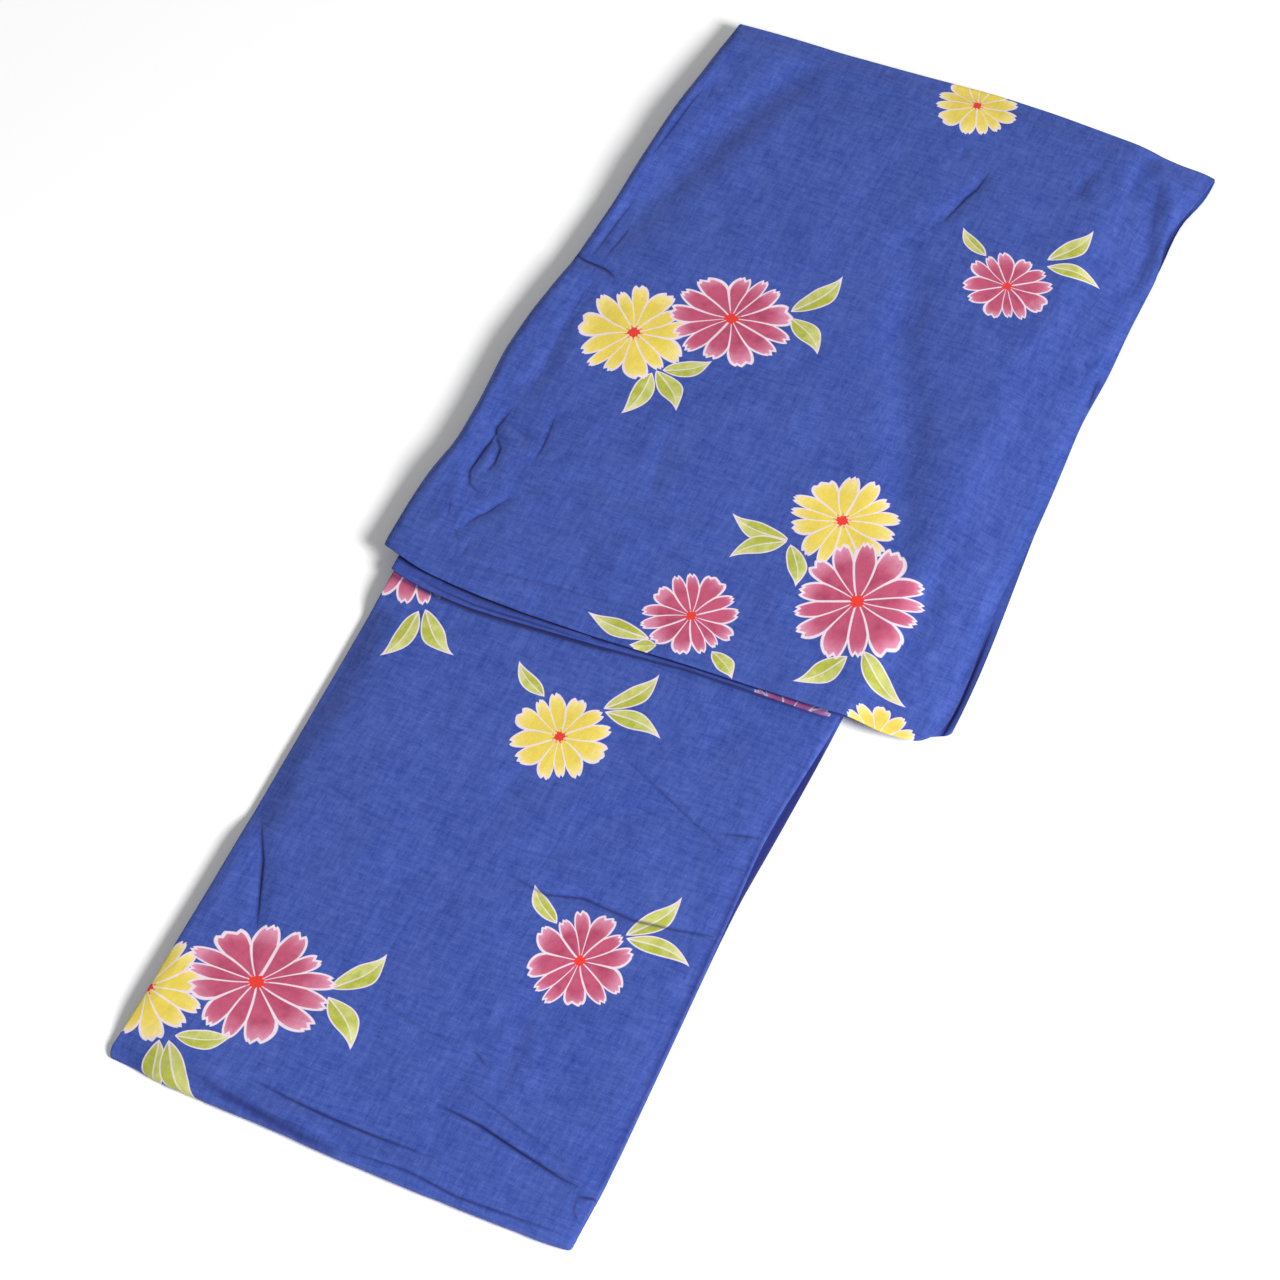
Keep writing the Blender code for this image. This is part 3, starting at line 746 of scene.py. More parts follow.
def shell(name, outer, flat, thick, sign, motifs=((), ()), creases=(), hem=(0, 0, 0, 0)):
    """A closed thin cloth from a grid of points on its outer face.

    flat gives each point's place on the uncut cloth. hem is how many rows or columns of points are
    turned under and so twice as thick at the first row, last row, first column and last column.
    """
    rows, columns = outer.shape[:2]
    along = np.gradient(outer, axis=1)
    down = np.gradient(outer, axis=0)
    normal = np.cross(along, down) * sign
    normal /= np.maximum(np.linalg.norm(normal, axis=-1, keepdims=True), 1e-12)
    depth = np.full((rows, columns), thick)
    j = np.arange(rows)[:, None] + np.zeros((1, columns))
    i = np.arange(columns)[None, :] + np.zeros((rows, 1))
    turned = np.zeros((rows, columns))
    for from_edge, count in ((j, hem[0]), (rows - 1 - j, hem[1]), (i, hem[2]), (columns - 1 - i, hem[3])):
        if count:
            turned = np.maximum(turned, smooth((count - from_edge) / 2.0))
    depth = depth * (1 + 0.6 * turned)
    inner = outer - normal * depth[..., None]

    index = np.arange(rows * columns).reshape(rows, columns)
    loop = np.concatenate([
        index[0, :-1], index[:-1, -1], index[-1, :0:-1], index[:0:-1, 0],
    ])
    inward = np.concatenate([
        index[1, :-1], index[:-1, -2], index[-2, :0:-1], index[:0:-1, 1],
    ])
    flat_outer = outer.reshape(-1, 3)
    flat_inner = inner.reshape(-1, 3)
    away = flat_outer[loop] - flat_outer[inward]
    away /= np.maximum(np.linalg.norm(away, axis=1, keepdims=True), 1e-12)
    rim_depth = depth.reshape(-1)[loop][:, None]
    rim = (flat_outer[loop] + flat_inner[loop]) / 2 + away * rim_depth * 0.45

    count = rows * columns
    points = np.concatenate([flat_outer, flat_inner, rim])
    a, b = index[:-1, :-1].ravel(), index[:-1, 1:].ravel()
    c, d = index[1:, 1:].ravel(), index[1:, :-1].ravel()
    top = np.stack([a, b, c, d], axis=1)
    if sign < 0:
        top = top[:, ::-1]
    bottom = top[:, ::-1] + count
    n = len(loop)
    k = np.arange(n)
    after = (k + 1) % n
    mid = 2 * count
    rim_top = np.stack([loop, mid + k, mid + after, loop[after]], axis=1)
    rim_bottom = np.stack([mid + k, count + loop, count + loop[after], mid + after], axis=1)
    if sign < 0:
        rim_top = rim_top[:, ::-1]
        rim_bottom = rim_bottom[:, ::-1]
    faces = np.concatenate([top, rim_top, rim_bottom, bottom])

    mesh = bpy.data.meshes.new(name)
    mesh.from_pydata((points - CENTRE).tolist(), [], faces.tolist())
    mesh.shade_smooth()

    cloth = flat.reshape(-1, 2)
    cloth = np.concatenate([cloth, cloth, cloth[loop]])
    wrong_side = np.concatenate([np.zeros(count), np.ones(count), np.full(n, 0.2)])
    add_vectors(mesh, "cloth_at", "POINT", np.column_stack([cloth, wrong_side]))

    corners = cloth[faces]
    middles = corners.mean(axis=1)
    sizes = np.linalg.norm(corners - middles[:, None], axis=2).max(axis=1)
    flowers, leaves = motifs
    upper, lower = two_slots(
        len(faces), middles, sizes,
        [(f.x, f.y) for f in flowers], [1.05 * max(f.radius_x, f.radius_y) for f in flowers])
    upper_leaf, lower_leaf = two_slots(
        len(faces), middles, sizes,
        [((f.tip_x + f.base_x) / 2, (f.tip_y + f.base_y) / 2) for f in leaves],
        [0.54 * math.hypot(f.tip_x - f.base_x, f.tip_y - f.base_y) for f in leaves])
    for slot, (at, look) in (
        ("flower_a", flower_slot(upper, flowers, corners)),
        ("flower_b", flower_slot(lower, flowers, corners)),
        ("leaf_a", leaf_slot(upper_leaf, leaves, corners)),
        ("leaf_b", leaf_slot(lower_leaf, leaves, corners)),
    ):
        add_vectors(mesh, slot + "_at", "CORNER", at)
        add_vectors(mesh, slot + "_look", "CORNER", look)
    add_vectors(mesh, "crease_groove_and_shade", "CORNER", crease_slot(creases, middles, corners))

    share = np.stack([i / (columns - 1), j / (rows - 1)], axis=-1).reshape(-1, 2)
    share = np.concatenate([share, share, share[loop]])
    uv = share[faces]
    uv[:, :, 0] = 0.01 + 0.98 * uv[:, :, 0]
    uv[:len(top), :, 1] = 0.10 + 0.89 * uv[:len(top), :, 1]
    uv[len(top):, :, 1] = 0.01 + 0.07 * uv[len(top):, :, 1]
    layer = mesh.uv_layers.new(name="OFBake")
    layer.data.foreach_set("uv", uv.ravel())

    obj = bpy.data.objects.new(name, mesh)
    bpy.context.scene.collection.objects.link(obj)
    return obj


# Materials


class Term:
    """A shader value that ordinary arithmetic joins to others with Math nodes."""

    def __init__(self, nodes, socket):
        self.nodes = nodes
        self.socket = socket


def operator(operation, swapped):
    def joined(self, other):
        first, second = (other, self) if swapped else (self, other)
        return self.nodes.math(operation, first, second)
    return joined


for sign, operation in (
        ("add", "ADD"), ("sub", "SUBTRACT"), ("mul", "MULTIPLY"), ("truediv", "DIVIDE"), ("pow", "POWER")):
    setattr(Term, f"__{sign}__", operator(operation, False))
    setattr(Term, f"__r{sign}__", operator(operation, True))


class Nodes:
    """Short ways to add and join the nodes of one tree."""

    def __init__(self, tree):
        self.tree = tree

    def add(self, kind, inputs=(), **settings):
        node = self.tree.nodes.new(kind)
        for name, value in settings.items():
            setattr(node, name, value)
        self.fill(node, inputs)
        return node

    def fill(self, node, inputs):
        """Values and links for a node's inputs, by their names or numbers."""
        for key, value in dict(inputs).items():
            if isinstance(value, Term):
                value = value.socket
            if isinstance(value, bpy.types.NodeSocket):
                self.tree.links.new(value, node.inputs[key])
            else:
                node.inputs[key].default_value = value

    def math(self, operation, *values):
        node = self.add("ShaderNodeMath", enumerate(values), operation=operation)
        return Term(self, node.outputs[0])

    def least(self, a, b):
        return self.math("MINIMUM", a, b)

    def most(self, a, b):
        return self.math("MAXIMUM", a, b)

    def sine(self, value):
        return self.math("SINE", value)

    def size(self, value):
        return self.math("ABSOLUTE", value)

    def step(self, low, high, value):
        """0 below low, 1 above high, smooth between."""
        inputs = {"Value": value, "From Min": low, "From Max": high}
        node = self.add("ShaderNodeMapRange", inputs, interpolation_type="SMOOTHSTEP")
        return Term(self, node.outputs[0])

    def blend(self, share, a, b, way="MIX"):
        node = self.add("ShaderNodeMix", {0: share, 6: a, 7: b}, data_type="RGBA", blend_type=way)
        return node.outputs[2]

    def split(self, vector):
        node = self.add("ShaderNodeSeparateXYZ", {0: vector})
        return [Term(self, socket) for socket in node.outputs]

    def join(self, x, y, z=0.0):
        return self.add("ShaderNodeCombineXYZ", {0: x, 1: y, 2: z}).outputs[0]

    def noise(self, vector, scale, detail=2.0, roughness=0.5):
        inputs = {"Vector": vector, "Scale": scale, "Detail": detail, "Roughness": roughness}
        return Term(self, self.add("ShaderNodeTexNoise", inputs).outputs["Fac"])

    def chance(self, value):
        """A value from 0 to 1 that looks drawn at random for each whole number."""
        node = self.add("ShaderNodeTexWhiteNoise", {"W": value}, noise_dimensions="1D")
        return Term(self, node.outputs["Value"])

    def read(self, name):
        return self.add("ShaderNodeAttribute", attribute_name=name).outputs["Vector"]


def srgb(colour):
    """A colour as seen, 0 to 255, made linear."""
    out = []
    for value in colour:
        share = value / 255
        out.append(share / 12.92 if share <= 0.04045 else ((share + 0.055) / 1.055) ** 2.4)
    return (*out, 1.0)


def group(name):
    """A group for one motif of the print: its place and look go in, its colour and mask come out."""
    tree = bpy.data.node_groups.new(name, "ShaderNodeTree")
    for label, way, kind in (
            ("At", "INPUT", "Vector"), ("Look", "INPUT", "Vector"),
            ("Color", "OUTPUT", "Color"), ("Mask", "OUTPUT", "Float")):
        tree.interface.new_socket(label, in_out=way, socket_type="NodeSocket" + kind)
    n = Nodes(tree)
    start = n.add("NodeGroupInput")
    return n, n.split(start.outputs["At"]), n.split(start.outputs["Look"]), n.add("NodeGroupOutput")


def flower_group():
    """One flower: notched petals with pale lines between them, pale tips, and a red centre."""
    n, (x, y, petals), (pink, seed, turn), end = group("flower")
    petals = n.math("ROUND", petals)
    seed = n.math("ROUND", seed)
    radius = n.math("SQRT", x * x + y * y)
    angle = n.math("ARCTAN2", y, x)
    sway = n.sine(angle * 2.0 + seed) * 0.08 + n.sine(angle * 3.0 + seed * 2.0) * 0.05
    sway = sway + n.sine(angle * 5.0 + seed * 3.0) * 0.036
    bowed = n.sine(angle * 4.0 + seed * 5.0) * (radius - 0.5) * 0.24
    turned = (angle + sway + bowed) * petals / (2 * math.pi) + turn
    petal = n.math("FLOOR", turned + 0.5)
    side = turned - petal
    number = n.math("FLOORED_MODULO", petal, petals)
    chance = n.chance(n.math("ROUND", number + seed * 20.0))
    other = n.chance(n.math("ROUND", number + seed * 20.0 + 500.0))
    length = 1.0 - chance * 0.14
    wedge = radius * math.pi / petals
    across = side * 2.0 * wedge
    offset = n.size(across)
    widest = length * 0.66
    half = widest * math.pi / petals
    rounding = n.most(radius - widest, 0.0) / (length * 0.34)
    out = offset / half
    shape = 1.0 - out ** 2.4 - rounding ** 2.8
    steep_x = out * 2.4 / half
    steep_y = rounding ** 1.8 * 2.8 / (length * 0.34)
    rounded = shape / (n.math("SQRT", steep_x * steep_x + steep_y * steep_y) + 0.5)
    first = (other - 0.5) * half * 0.8
    second = first + half * n.math("SIGN", 0.5 - other) * 0.66
    notch = (n.size(across - first) * 1.15 + length - 0.075 - radius) * 0.64
    small = (n.size(across - second) * 1.25 + length - 0.052 - radius) * 0.60
    inside = n.least(n.least(wedge - offset, rounded), n.least(notch, small))
    line = 0.007 + n.least(radius * 1.6, 1.0) * 0.010
    mask = n.step(-0.006, 0.006, inside + line)
    fill = n.step(-0.006, 0.006, inside - line)
    cloudy = n.noise(n.join(x + seed, y, number), 4.0)
    reach = radius / length + (other - 0.5) * 0.22 + (cloudy - 0.5) * 0.35
    paler = n.step(0.62, 1.06, reach)
    patch = n.noise(n.join(x * 2.0, y * 2.0, number + seed), 3.0)
    deep = n.step(-0.5, 0.5, side) * (other - 0.3) + (patch - 0.45) * 2.2
    deep = n.least(n.most(deep, 0.0), 0.85) * (1.0 - n.step(0.60, 0.95, radius))
    deep = deep * (pink * 0.5 + 0.5)
    edge = 1.0 - n.step(0.02, 0.09, inside)
    fade = n.least(paler * 0.85 + edge * n.step(0.5, 0.9, radius) * 0.30, 1.0)
    inner = n.blend(pink, srgb(YELLOW_RGB), srgb(PINK_RGB))
    inner = n.blend(deep, inner, n.blend(pink, srgb(YELLOW_DEEP_RGB), srgb(PINK_DEEP_RGB)))
    outer = n.blend(pink, srgb(YELLOW_TIP_RGB), srgb(PINK_TIP_RGB))
    colour = n.blend(fill, srgb(OUTLINE_RGB), n.blend(fade, inner, outer))
    rough = n.sine(angle * 9.0 + seed) * 0.010 + n.sine(angle * 4.0 + seed) * 0.010
    eye = 1.0 - n.step(0.095, 0.112, radius + rough)
    dashes = n.sine(angle * 9.0 + seed * 2.0)
    ring = n.step(0.45, 0.8, dashes) * (1.0 - n.step(0.145, 0.165, radius)) * n.step(0.10, 0.12, radius)
    colour = n.blend(n.most(eye, ring * 0.7), colour, srgb(CENTRE_RGB))
    n.fill(end, {"Color": colour, "Mask": n.most(mask, eye)})
    return n.tree


def leaf_group():
    """One pointed leaf with a pale outline and midrib."""
    n, (along, across, width), (bend, seed, length), end = group("leaf")
    safe = n.least(n.most(along, 0.0), 1.0)
    shifted = safe ** 0.90
    bulge = shifted * (1.0 - shifted) * 4.0
    off = across - bulge * bend * 0.8 - bulge * (safe - 0.5) * bend * 0.9
    wavy = n.sine(safe * 9.0 + seed * 2.0) * 0.05
    drawn = 1.0 + wavy - n.step(0.50, 1.0, safe) * 0.34
    inside = width * (bulge ** 1.05 * drawn - 0.01) - n.size(off)
    inside = n.least(inside, n.least(along, 1.0 - along))
    scale = length / 0.045
    depth = inside * scale
    mask = n.step(0.0, 0.009, depth)
    fill = n.step(0.018, 0.030, depth - n.step(0.78, 1.0, safe) * 0.014)
    cloudy = n.noise(n.join(along + seed, across, 0.0), 6.0)
    upper = n.step(-0.02, 0.02, off)
    patchy = upper * 0.35 + (cloudy - 0.45) * 1.4 + n.step(0.45, 1.0, safe) * 0.75
    fade = n.least(n.most(patchy, 0.0), 1.0)
    rib = 1.0 - n.step(0.008, 0.018, n.size(off) + safe * 0.006)
    rib = rib * (1.0 - n.step(0.80, 0.88, safe))
    colour = n.blend(fade, srgb(LEAF_RGB), srgb(LEAF_PALE_RGB))
    colour = n.blend(rib * 0.85, colour, srgb(OUTLINE_RGB))
    colour = n.blend(fill, srgb(OUTLINE_RGB), colour)
    n.fill(end, {"Color": colour, "Mask": mask})
    return n.tree


def new_shader(name):
    material = bpy.data.materials.new(name)
    material.use_nodes = True
    return material, Nodes(material.node_tree), material.node_tree.nodes["Principled BSDF"]


def printed_cotton(name, base, flowers, leaves):
    """Plain-weave cotton with uneven threads, the print over it, and shade painted along its crease lines.
    """
    material, n, shader = new_shader(name)
    u, v, wrong = n.split(n.read("cloth_at"))

    def uneven_cloth(per_u, per_v, offset, detail, roughness=0.5):
        return n.noise(n.join(u * per_u, v * per_v, wrong + offset), 1.0, detail, roughness)

    warp = uneven_cloth(1400.0, 170.0, 0.0, 3.0, 0.6)
    weft = uneven_cloth(170.0, 1400.0, 4.0, 3.0, 0.6)
    grain = uneven_cloth(900.0, 900.0, 0.0, 2.0)
    cloudy = uneven_cloth(14.0, 14.0, 0.0, 3.0)
    long_warp = uneven_cloth(380.0, 55.0, 0.0, 2.0, 0.6)
    long_weft = uneven_cloth(55.0, 380.0, 7.0, 2.0, 0.6)
    mottle = uneven_cloth(250.0, 250.0, 0.0, 4.0, 0.70)
    threads = (warp - 0.5) + (weft - 0.5)
    slubs = (long_warp - 0.5) + (long_weft - 0.5)
    patchy = uneven_cloth(70.0, 55.0, 5.0, 3.0, 0.55)
    streaks = uneven_cloth(150.0, 12.0, 9.0, 2.0)
    uneven = threads * 0.50 + slubs * 0.60 + (grain - 0.5) * 0.25 + (mottle - 0.5) * 0.60
    uneven = uneven + (patchy - 0.5) * 0.40 + (streaks - 0.5) * 0.30 + (cloudy - 0.5) * 0.30
    shade = n.join(uneven * 1.5 + 1.0, uneven * 1.1 + 1.0, uneven * 0.55 + 1.0)
    colour = n.blend(1.0, srgb(base), shade, "MULTIPLY")
    for tree, slot in ((leaves, "leaf_b"), (leaves, "leaf_a"), (flowers, "flower_b"), (flowers, "flower_a")):
        inputs = {"At": n.read(slot + "_at"), "Look": n.read(slot + "_look")}
        made = n.add("ShaderNodeGroup", node_tree=tree)
        n.fill(made, inputs)
        colour = n.blend(made.outputs["Mask"], colour, made.outputs["Color"])
    print_tone = 1.0 + threads * 0.16 + slubs * 0.10
    worn = n.blend(1.0, colour, n.join(print_tone, print_tone, print_tone), "MULTIPLY")
    pale = n.blend(wrong * 0.45, worn, srgb(WRONG_SIDE_RGB))
    # Painted shade: along each crease line the colour darkens towards SHADOW_RGB, more for deeper lines; the
    # same line is also a groove in the bump.
    away, depth, spread = n.split(n.read("crease_groove_and_shade"))
    away = away / n.most(spread, 0.5)
    line = n.math("EXPONENT", n.size(away) * -1.15)
    shadow = n.math("EXPONENT", away * away * -0.70) * n.least(depth * SHADOW_PER_MM, SHADOW_AT_MOST)
    over = n.sine(u * (2 * math.pi / THREAD_PITCH))
    under = n.sine(v * (2 * math.pi / THREAD_PITCH))
    height = over * under * 0.022 + threads * 0.10 + (grain - 0.5) * 0.06
    crumple = uneven_cloth(60.0, 45.0, 0.0, 3.0)
    rumple = uneven_cloth(170.0, 130.0, 2.0, 2.0)
    height = height + (crumple - 0.5) * 0.80 + (rumple - 0.5) * 0.16 - line * depth
    bump = n.add("ShaderNodeBump", {"Strength": 1.0, "Distance": 0.001, "Height": height})
    n.fill(shader, {
        "Base Color": n.blend(shadow, pale, srgb(SHADOW_RGB)),
        "Normal": bump.outputs[0],
        "Roughness": 0.82 + threads * 0.10,
        "Specular IOR Level": 0.16,
        "Sheen Weight": 0.05,
        "Sheen Roughness": 0.6,
    })
    return material


FLOWER = flower_group()
LEAF = leaf_group()
COTTON = printed_cotton("printed_cotton", BLUE_RGB, FLOWER, LEAF)
# The layers inside the fold take the same cloth with a darker ground, as painted shade.
SHADED_COTTON = printed_cotton("printed_cotton_inside", SHADED_BLUE_RGB, FLOWER, LEAF)


def dress(obj, material, nodes):
    """Gives a cloth its finish, hangs it under the root body, and hides the solids that it stands in for."""
    obj.data.materials.append(material)
    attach(obj, "root")
    if nodes:
        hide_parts(*nodes)


# Strip


def strip_cloth(name, path, left_in, right_turn, depth, sign, side_turn=0.0, step=0.010,
                motifs=((), ()), creases=(), under=(), hem=(0, 0, 0, 0)):
    """One layer of the folded strip, at a depth below its outer face.

    left_in and side_turn give its left edge, right_turn its way round the strip's right edge:
    +1 curls down to the seam from above, -1 curls up to it from below, 0 stays flat.
    """
    left, right = path.sides()
    left = left + left_in
    start = left + side_turn
    end = right - EDGE_RADIUS
    columns = max(6, round(float((end - start).mean()) / step))
    xs = []
    depths = []
    if side_turn:
        for angle in (75, 50, 25):
            a = math.radians(angle)
            xs.append(left + side_turn * (1 - math.sin(a)))
            depths.append(depth + side_turn * (1 - math.cos(a)))
    for k in range(columns + 1):
        xs.append(mix(start, end, k / columns))
        depths.append(depth + 0 * left)
    if right_turn:
        steps = 6
        for k in range(1, steps + 1):
            a = math.radians(86) * k / steps
            xs.append(end + EDGE_RADIUS * math.sin(a))
            if right_turn > 0:
                depths.append(EDGE_RADIUS * (1 - math.cos(a)) + 0 * left)
            else:
                depths.append(HALF_THICK - EDGE_RADIUS * (1 - math.cos(a)) + 0 * left)
    else:
        xs.append(right - 0.0035)
        depths.append(depth + 0.0002 + 0 * left)
    x = np.stack(xs, axis=1)
    d = np.stack(np.broadcast_arrays(*[dd + 0 * left for dd in depths]), axis=1)
    y = np.where(path.kind[:, None] == 1, 0.0, path.value[:, None]) + 0 * x
    lift = 0 * x
    if creases:
        from_left = (x - left[:, None]) / STRIP_LEFT_REACH
        edge = np.minimum(from_left, (right[:, None] - 0.001 - x) / STRIP_RIGHT_REACH)
        near_roll = smooth((y - 0.001) / 0.008)
        swell = crease_rise(creases, x, y) + ripple(x, y, *STRIP_RIPPLE) + STRIP_LOFT
        on_top = (path.kind[:, None] == 0) * smooth((RISE_Y[0] + SWELL_END - y) / SWELL_END)
        lift = at_least(swell, STRIP_LEAST_LIFT) * smooth(edge) * near_roll * on_top
        uneven = 0.00012 * (np.sin(x * 210) * np.sin(x * 57 + 1) - 1)
        lift = lift + uneven * (path.kind[:, None] == 1)
    points = path.place(x, d, lift)
    cloth = np.stack([x, path.flat_y(x)], axis=-1)
    fold_lines = list(creases)
    for crease in under:
        moved = tuple((px, (2 - math.pi) * ROLL_RADIUS - py) for px, py in crease.points)
        fold_lines.append(crease._replace(points=moved))
    return shell(name, points, cloth, CLOTH, sign, motifs, fold_lines, hem)


def inner_path(longer):
    """Rows for a layer inside the fold, which ends this much past the shoulder and the hem."""
    dense_start_y = 0.410
    dense_end_y = 0.325
    step = 0.012
    upper = spaced(SHOULDER_Y + longer, dense_start_y, step) + spaced(dense_start_y, dense_end_y, step / 2)
    upper += spaced(dense_end_y, ROLL_RADIUS, step)
    return Path(upper, 10, spaced(ROLL_RADIUS + step / 2, HEM_Y + longer, step) + [HEM_Y + longer])


def build_strip():
    fine = Path(
        spaced(SHOULDER_Y, 0.395, 0.010) + spaced(0.395, ROLL_RADIUS, 0.0024),
        14,
        spaced(ROLL_RADIUS + 0.004, HEM_Y, 0.012) + [HEM_Y])
    left_body = strip_cloth(
        "left_body_cloth", fine, 0.0, 1, 0.0, -1, side_turn=0.0016, step=0.0024,
        motifs=all_of(STRIP_FLOWERS, STRIP_LEAVES, UNDER_CLUSTERS),
        creases=STRIP_CREASES, under=UNDER_CREASES + SEAM_PAINTED_SHADOW, hem=(0, 2, 0, 0))
    dress(left_body, COTTON, ["left_body"])
    right_body = strip_cloth(
        "right_body_cloth", inner_path(-0.002), 0.0035, -1, HALF_THICK, 1, under=SEAM_PAINTED_SHADOW,
        hem=(0, 2, 0, 0))
    dress(right_body, SHADED_COTTON, ["right_body"])
    layers = (
        ("left_front_cloth", 0.0010, 0.0018, -0.004),
        ("left_overlap_cloth", 0.0030, 0.0024, -0.007),
        ("right_overlap_cloth", 0.0052, 0.0030, -0.0055),
        ("right_front_cloth", 0.0022, 0.0036, -0.003),
    )
    for name, inset, depth, shorter in layers:
        nodes = ["folded_layers"] if name == "left_front_cloth" else []
        layer = strip_cloth(name, inner_path(shorter), inset, 0, depth, -1, hem=(0, 2, 2, 0))
        dress(layer, SHADED_COTTON, nodes)


# Sleeves


def sleeve_base(x, y):
    over_strip = strip_top(y) + 1.5 * GAP
    droop = SLEEVE_DROOP * smooth((SLEEVE_DROOP_START_X - x) / SLEEVE_DROOP_LENGTH)
    fallen = mix(over_strip - droop, SLEEVE_REST_Z, eased(x, SLEEVE_FALL_X))
    return mix(fallen, SLEEVE_EDGE_Z, eased(x, SLEEVE_EDGE_X))


def inside_sleeve_base(x, y):
    return mix(HALF_THICK + GAP - sag(y), 0.0002, eased(x, INSIDE_FALL_X))


def sleeve_cloth(name, side, ends, base, whole, corners, steps, lift, motifs, creases):
    """A flattened sleeve: upper layer, fold at the shoulder, lower layer.

    side(layer, y) and ends(layer, x) give its edges. whole is the height of both layers together.
    """
    column_step, upper_step, lower_step = steps
    straight = np.linspace(0, 1, round(0.33 / column_step) + 1)
    turn = np.linspace(0, math.pi / 2, max(5, round(0.040 / column_step)) + 1)[1:]
    straight_part = np.concatenate([straight, np.ones(len(turn))])
    angle = np.concatenate([np.zeros(len(straight)), turn])
    radius = whole / 2

    def place(layer, share):
        corner = corners[layer]
        y = mix(0.38, 0.87, share) + 0 * straight_part
        x = 0 * y
        for _ in range(5):
            left, right = side(layer, y)
            x = mix(left, right - corner[0], straight_part) + corner[0] * np.sin(angle)
            bottom, top = ends(layer, x)
            y = mix(bottom + corner[1] * (1 - np.cos(angle)), top + 0.0005 - radius, share)
        return x, y

    upper_rows = round(0.5 / upper_step)
    share = np.linspace(0, 1, upper_rows + 1)
    share = mix(share, (1 - np.cos(math.pi * share)) / 2, 0.25)[:, None]
    x, y = place("front", share)
    raised = lift(x, y)
    height = base(x, y) + whole + raised
    upper = np.stack([x + LIFT_SHIFT[0] * raised, y + LIFT_SHIFT[1] * raised, height], axis=-1)
    flat_upper = np.stack([x, y], axis=-1)

    end_x, end_y = upper[-1, :, 0], upper[-1, :, 1]
    end_z = base(end_x, end_y)
    turns = []
    flat_turns = []
    for k in range(1, 8):
        a = math.pi * k / 8
        z = end_z + radius + radius * math.cos(a)
        turns.append(np.stack([end_x, end_y + radius * math.sin(a), z], axis=-1))
        flat_turns.append(np.stack([end_x, end_y + radius * a], axis=-1))

    lower_rows = round(0.5 / lower_step)
    share = np.linspace(1, 0, lower_rows + 1)
    share = mix(share, (1 - np.cos(math.pi * share)) / 2, 0.6)[:, None]
    x, y = place("back", share)
    blend_in = smooth((1 - share) / 0.1)
    x = mix(end_x, x, blend_in)
    y = mix(end_y + (share - 1) * 0.5, y, blend_in)
    lower = np.stack([x, y, base(x, y)], axis=-1)
    flat_lower = np.stack([x, end_y + math.pi * radius + (end_y - y)], axis=-1)

    points = np.concatenate([upper, np.array(turns), lower])
    cloth = np.concatenate([flat_upper, np.array(flat_turns), flat_lower])
    return shell(name, points, cloth, CLOTH, 1, motifs, creases, (3, 3, 2, 3))


def build_sleeves():
    def side(layer, y):
        left = read(SLEEVE_SIDES, "y", y, "left", 0.007)
        if layer == "front":
            return left, read(SLEEVE_SIDES, "y", y, "front_right", 0.007)
        left = left + 0.0008
        near_hem = smooth((BACK_LEFT_END_Y - y) / BACK_LEFT_LENGTH)
        left = mix(left, np.maximum(left, BACK_LEFT_X), near_hem)
        return left, read(SLEEVE_SIDES, "y", y, "back_right", 0.007)

    def ends(layer, x):
        name = "front_bottom" if layer == "front" else "back_bottom"
        return read(SLEEVE_ENDS, "x", x, name, 0.006), read(SLEEVE_ENDS, "x", x, "top", 0.008)

    def lift(x, y):
        left, right = side("front", y)
        bottom, top = ends("front", x)
        edge = np.minimum((x - left) / SLEEVE_LEFT_REACH, (right - x) / SLEEVE_RIGHT_REACH)
        edge = smooth(np.minimum(edge, (top - 0.002 - y) / SLEEVE_TOP_REACH))
        air = smooth((x - left) / 0.0032) * smooth((right - x) / 0.012) * smooth((top - 0.002 - y) / 0.016)
        swell = crease_rise(SLEEVE_CREASES, x, y) + ripple(x, y, *SLEEVE_RIPPLE)
        near_hem = smooth((bottom + HEM_PARTING_LENGTH - y) / HEM_PARTING_LENGTH)
        parted = HEM_PARTING * near_hem * (0.7 + 0.3 * np.sin(x * 38 + 1.0))
        ramp = np.clip((x - SPAN_X[0]) / (SPAN_X[1] - SPAN_X[0]), 0, 1)
        straight = mix(strip_top(y), SLEEVE_REST_Z, ramp)
        spans = np.maximum(straight - sleeve_base(x, y), 0) * smooth((x - SPAN_X[0]) / 0.01)
        least = mix(0, SLEEVE_LEAST_LIFT, smooth(edge))
        return at_least(swell * edge + SLEEVE_LOFT * air + parted + spans, least)

    whole = 2 * SLEEVE_WALL + SLEEVE_AIR
    sleeve = sleeve_cloth(
        "left_sleeve_cloth", side, ends, sleeve_base, whole, SLEEVE_CORNERS, (0.0026, 0.0026, 0.010), lift,
        all_of(SLEEVE_FLOWERS, SLEEVE_LEAVES, SLEEVE_BACK_CLUSTERS), SLEEVE_CREASES)
    dress(sleeve, COTTON, ["left_sleeve"])

    def inside_side(layer, y):
        shift = 0.0 if layer == "front" else 0.0015
        return INSIDE_SLEEVE_LEFT_X + 0 * y, INSIDE_SLEEVE_RIGHT_X - shift + 0 * y

    def inside_ends(layer, x):
        shift = 0.0 if layer == "front" else -0.002
        return INSIDE_SLEEVE_BOTTOM_Y + shift + 0 * x, INSIDE_SLEEVE_TOP_Y + 0 * x

    inside = sleeve_cloth(
        "right_sleeve_cloth", inside_side, inside_ends, inside_sleeve_base, 2 * INNER_WALL + GAP,
        INSIDE_SLEEVE_CORNERS, (0.005, 0.008, 0.008), lambda x, y: 0 * x,
        all_of((), (), INSIDE_CLUSTERS), ())
    dress(inside, SHADED_COTTON, ["right_sleeve"])


build_strip()
build_sleeves()


# Floor, light and camera

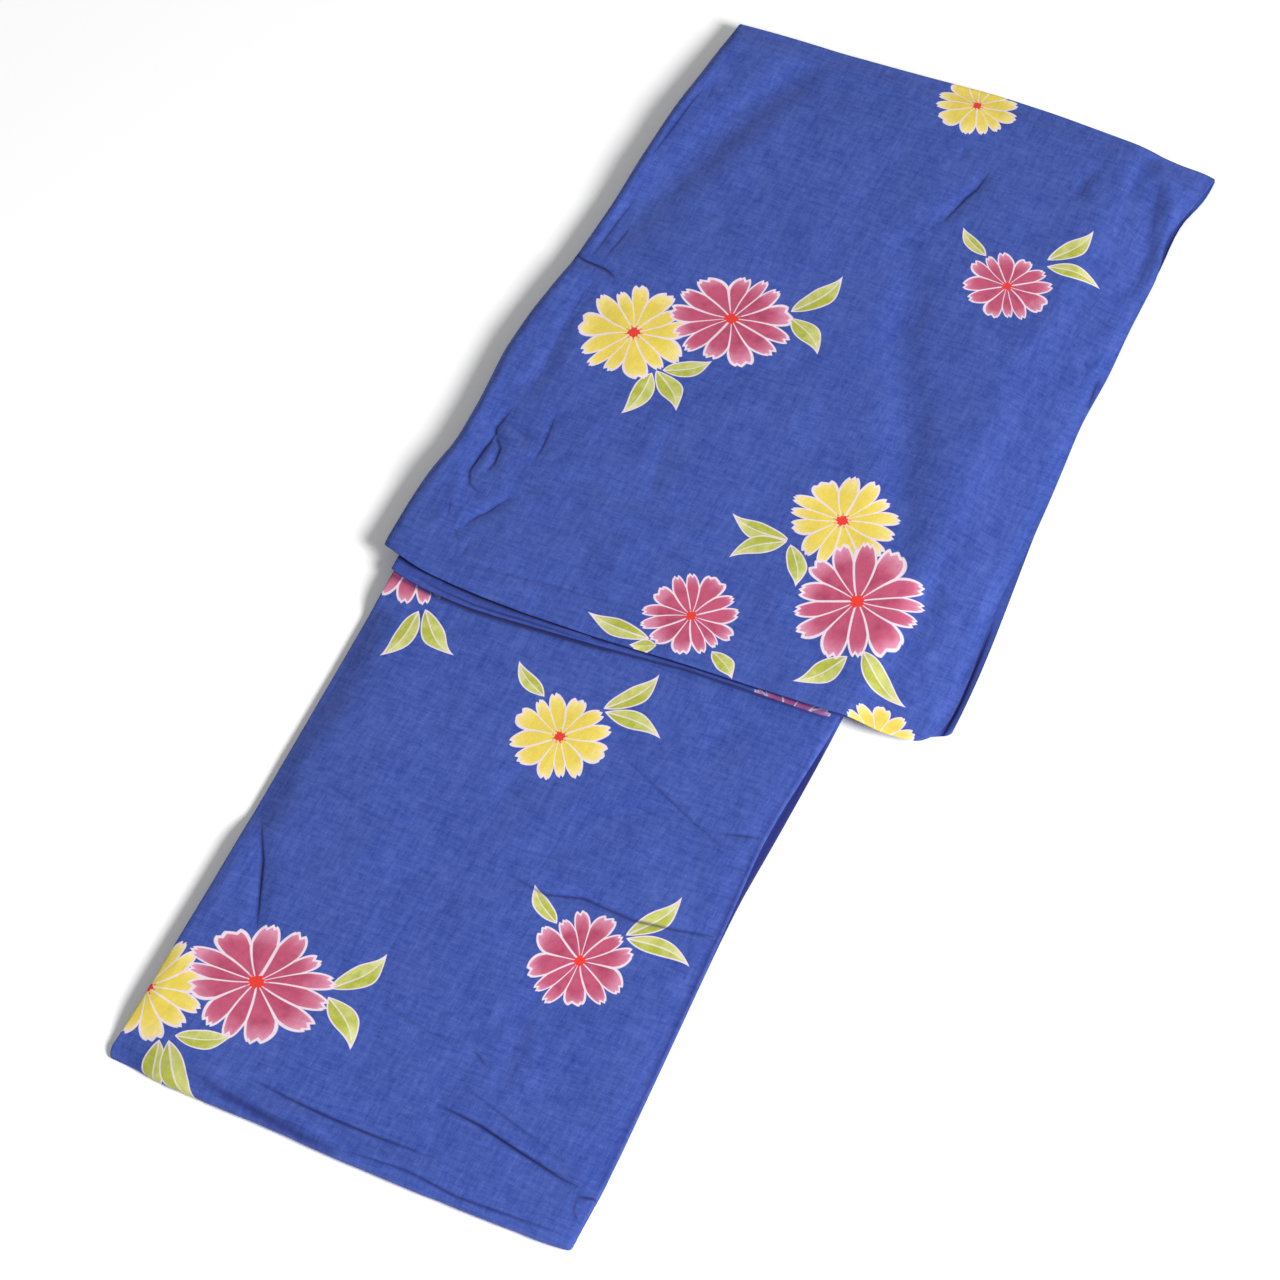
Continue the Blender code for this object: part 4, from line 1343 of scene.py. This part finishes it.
CAMERA_TARGET = (-0.01605, -0.04505, 0.0)
CAMERA_AZIMUTH = 23.8978
CAMERA_HEIGHT = 53.0568
CAMERA_DISTANCE = 2.8367
FOCAL_PIXELS = 4754.86
FRAME_PIXELS = 1280
LIGHTS = (
    ("key", (3.11, -1.31, 2.45), 1.4, 245),
    ("fill", (-2.4, 2.2, 3.2), 2.2, 20),
)


def build_stage():
    bpy.ops.mesh.primitive_plane_add(size=1, location=(0, 0, -0.0002))
    floor = bpy.context.object
    floor.name = "floor"
    floor.scale = (12, 12, 1)
    material, n, shader = new_shader("pale_floor")
    n.fill(shader, {"Base Color": (0.99, 0.99, 0.99, 1), "Roughness": 0.9, "Specular IOR Level": 0.1})
    floor.data.materials.append(material)

    world = bpy.data.worlds.new("studio")
    bpy.context.scene.world = world
    world.use_nodes = True
    sky = world.node_tree.nodes["Background"]
    Nodes(world.node_tree).fill(sky, {"Color": (1, 1, 1, 1), "Strength": 0.32})

    bpy.context.scene.view_settings.view_transform = "Standard"
    target = Vector(CAMERA_TARGET)
    for name, place, size, power in LIGHTS:
        data = bpy.data.lights.new(name, "AREA")
        data.shape = "DISK"
        data.size = size
        data.energy = power
        lamp = bpy.data.objects.new(name, data)
        lamp.location = place
        lamp.rotation_euler = (target - Vector(place)).to_track_quat("-Z", "Y").to_euler()
        bpy.context.scene.collection.objects.link(lamp)


def build_camera():
    azimuth = math.radians(CAMERA_AZIMUTH)
    height = math.radians(CAMERA_HEIGHT)
    back = Vector((
        math.sin(azimuth) * math.cos(height), -math.cos(azimuth) * math.cos(height), math.sin(height)))
    data = bpy.data.cameras.new("camera")
    data.sensor_width = 36
    data.lens = FOCAL_PIXELS / FRAME_PIXELS * data.sensor_width
    camera = bpy.data.objects.new("camera", data)
    camera.location = Vector(CAMERA_TARGET) + back * CAMERA_DISTANCE
    camera.rotation_euler = back.to_track_quat("Z", "Y").to_euler()
    bpy.context.scene.collection.objects.link(camera)
    bpy.context.scene.camera = camera


build_stage()
build_camera()
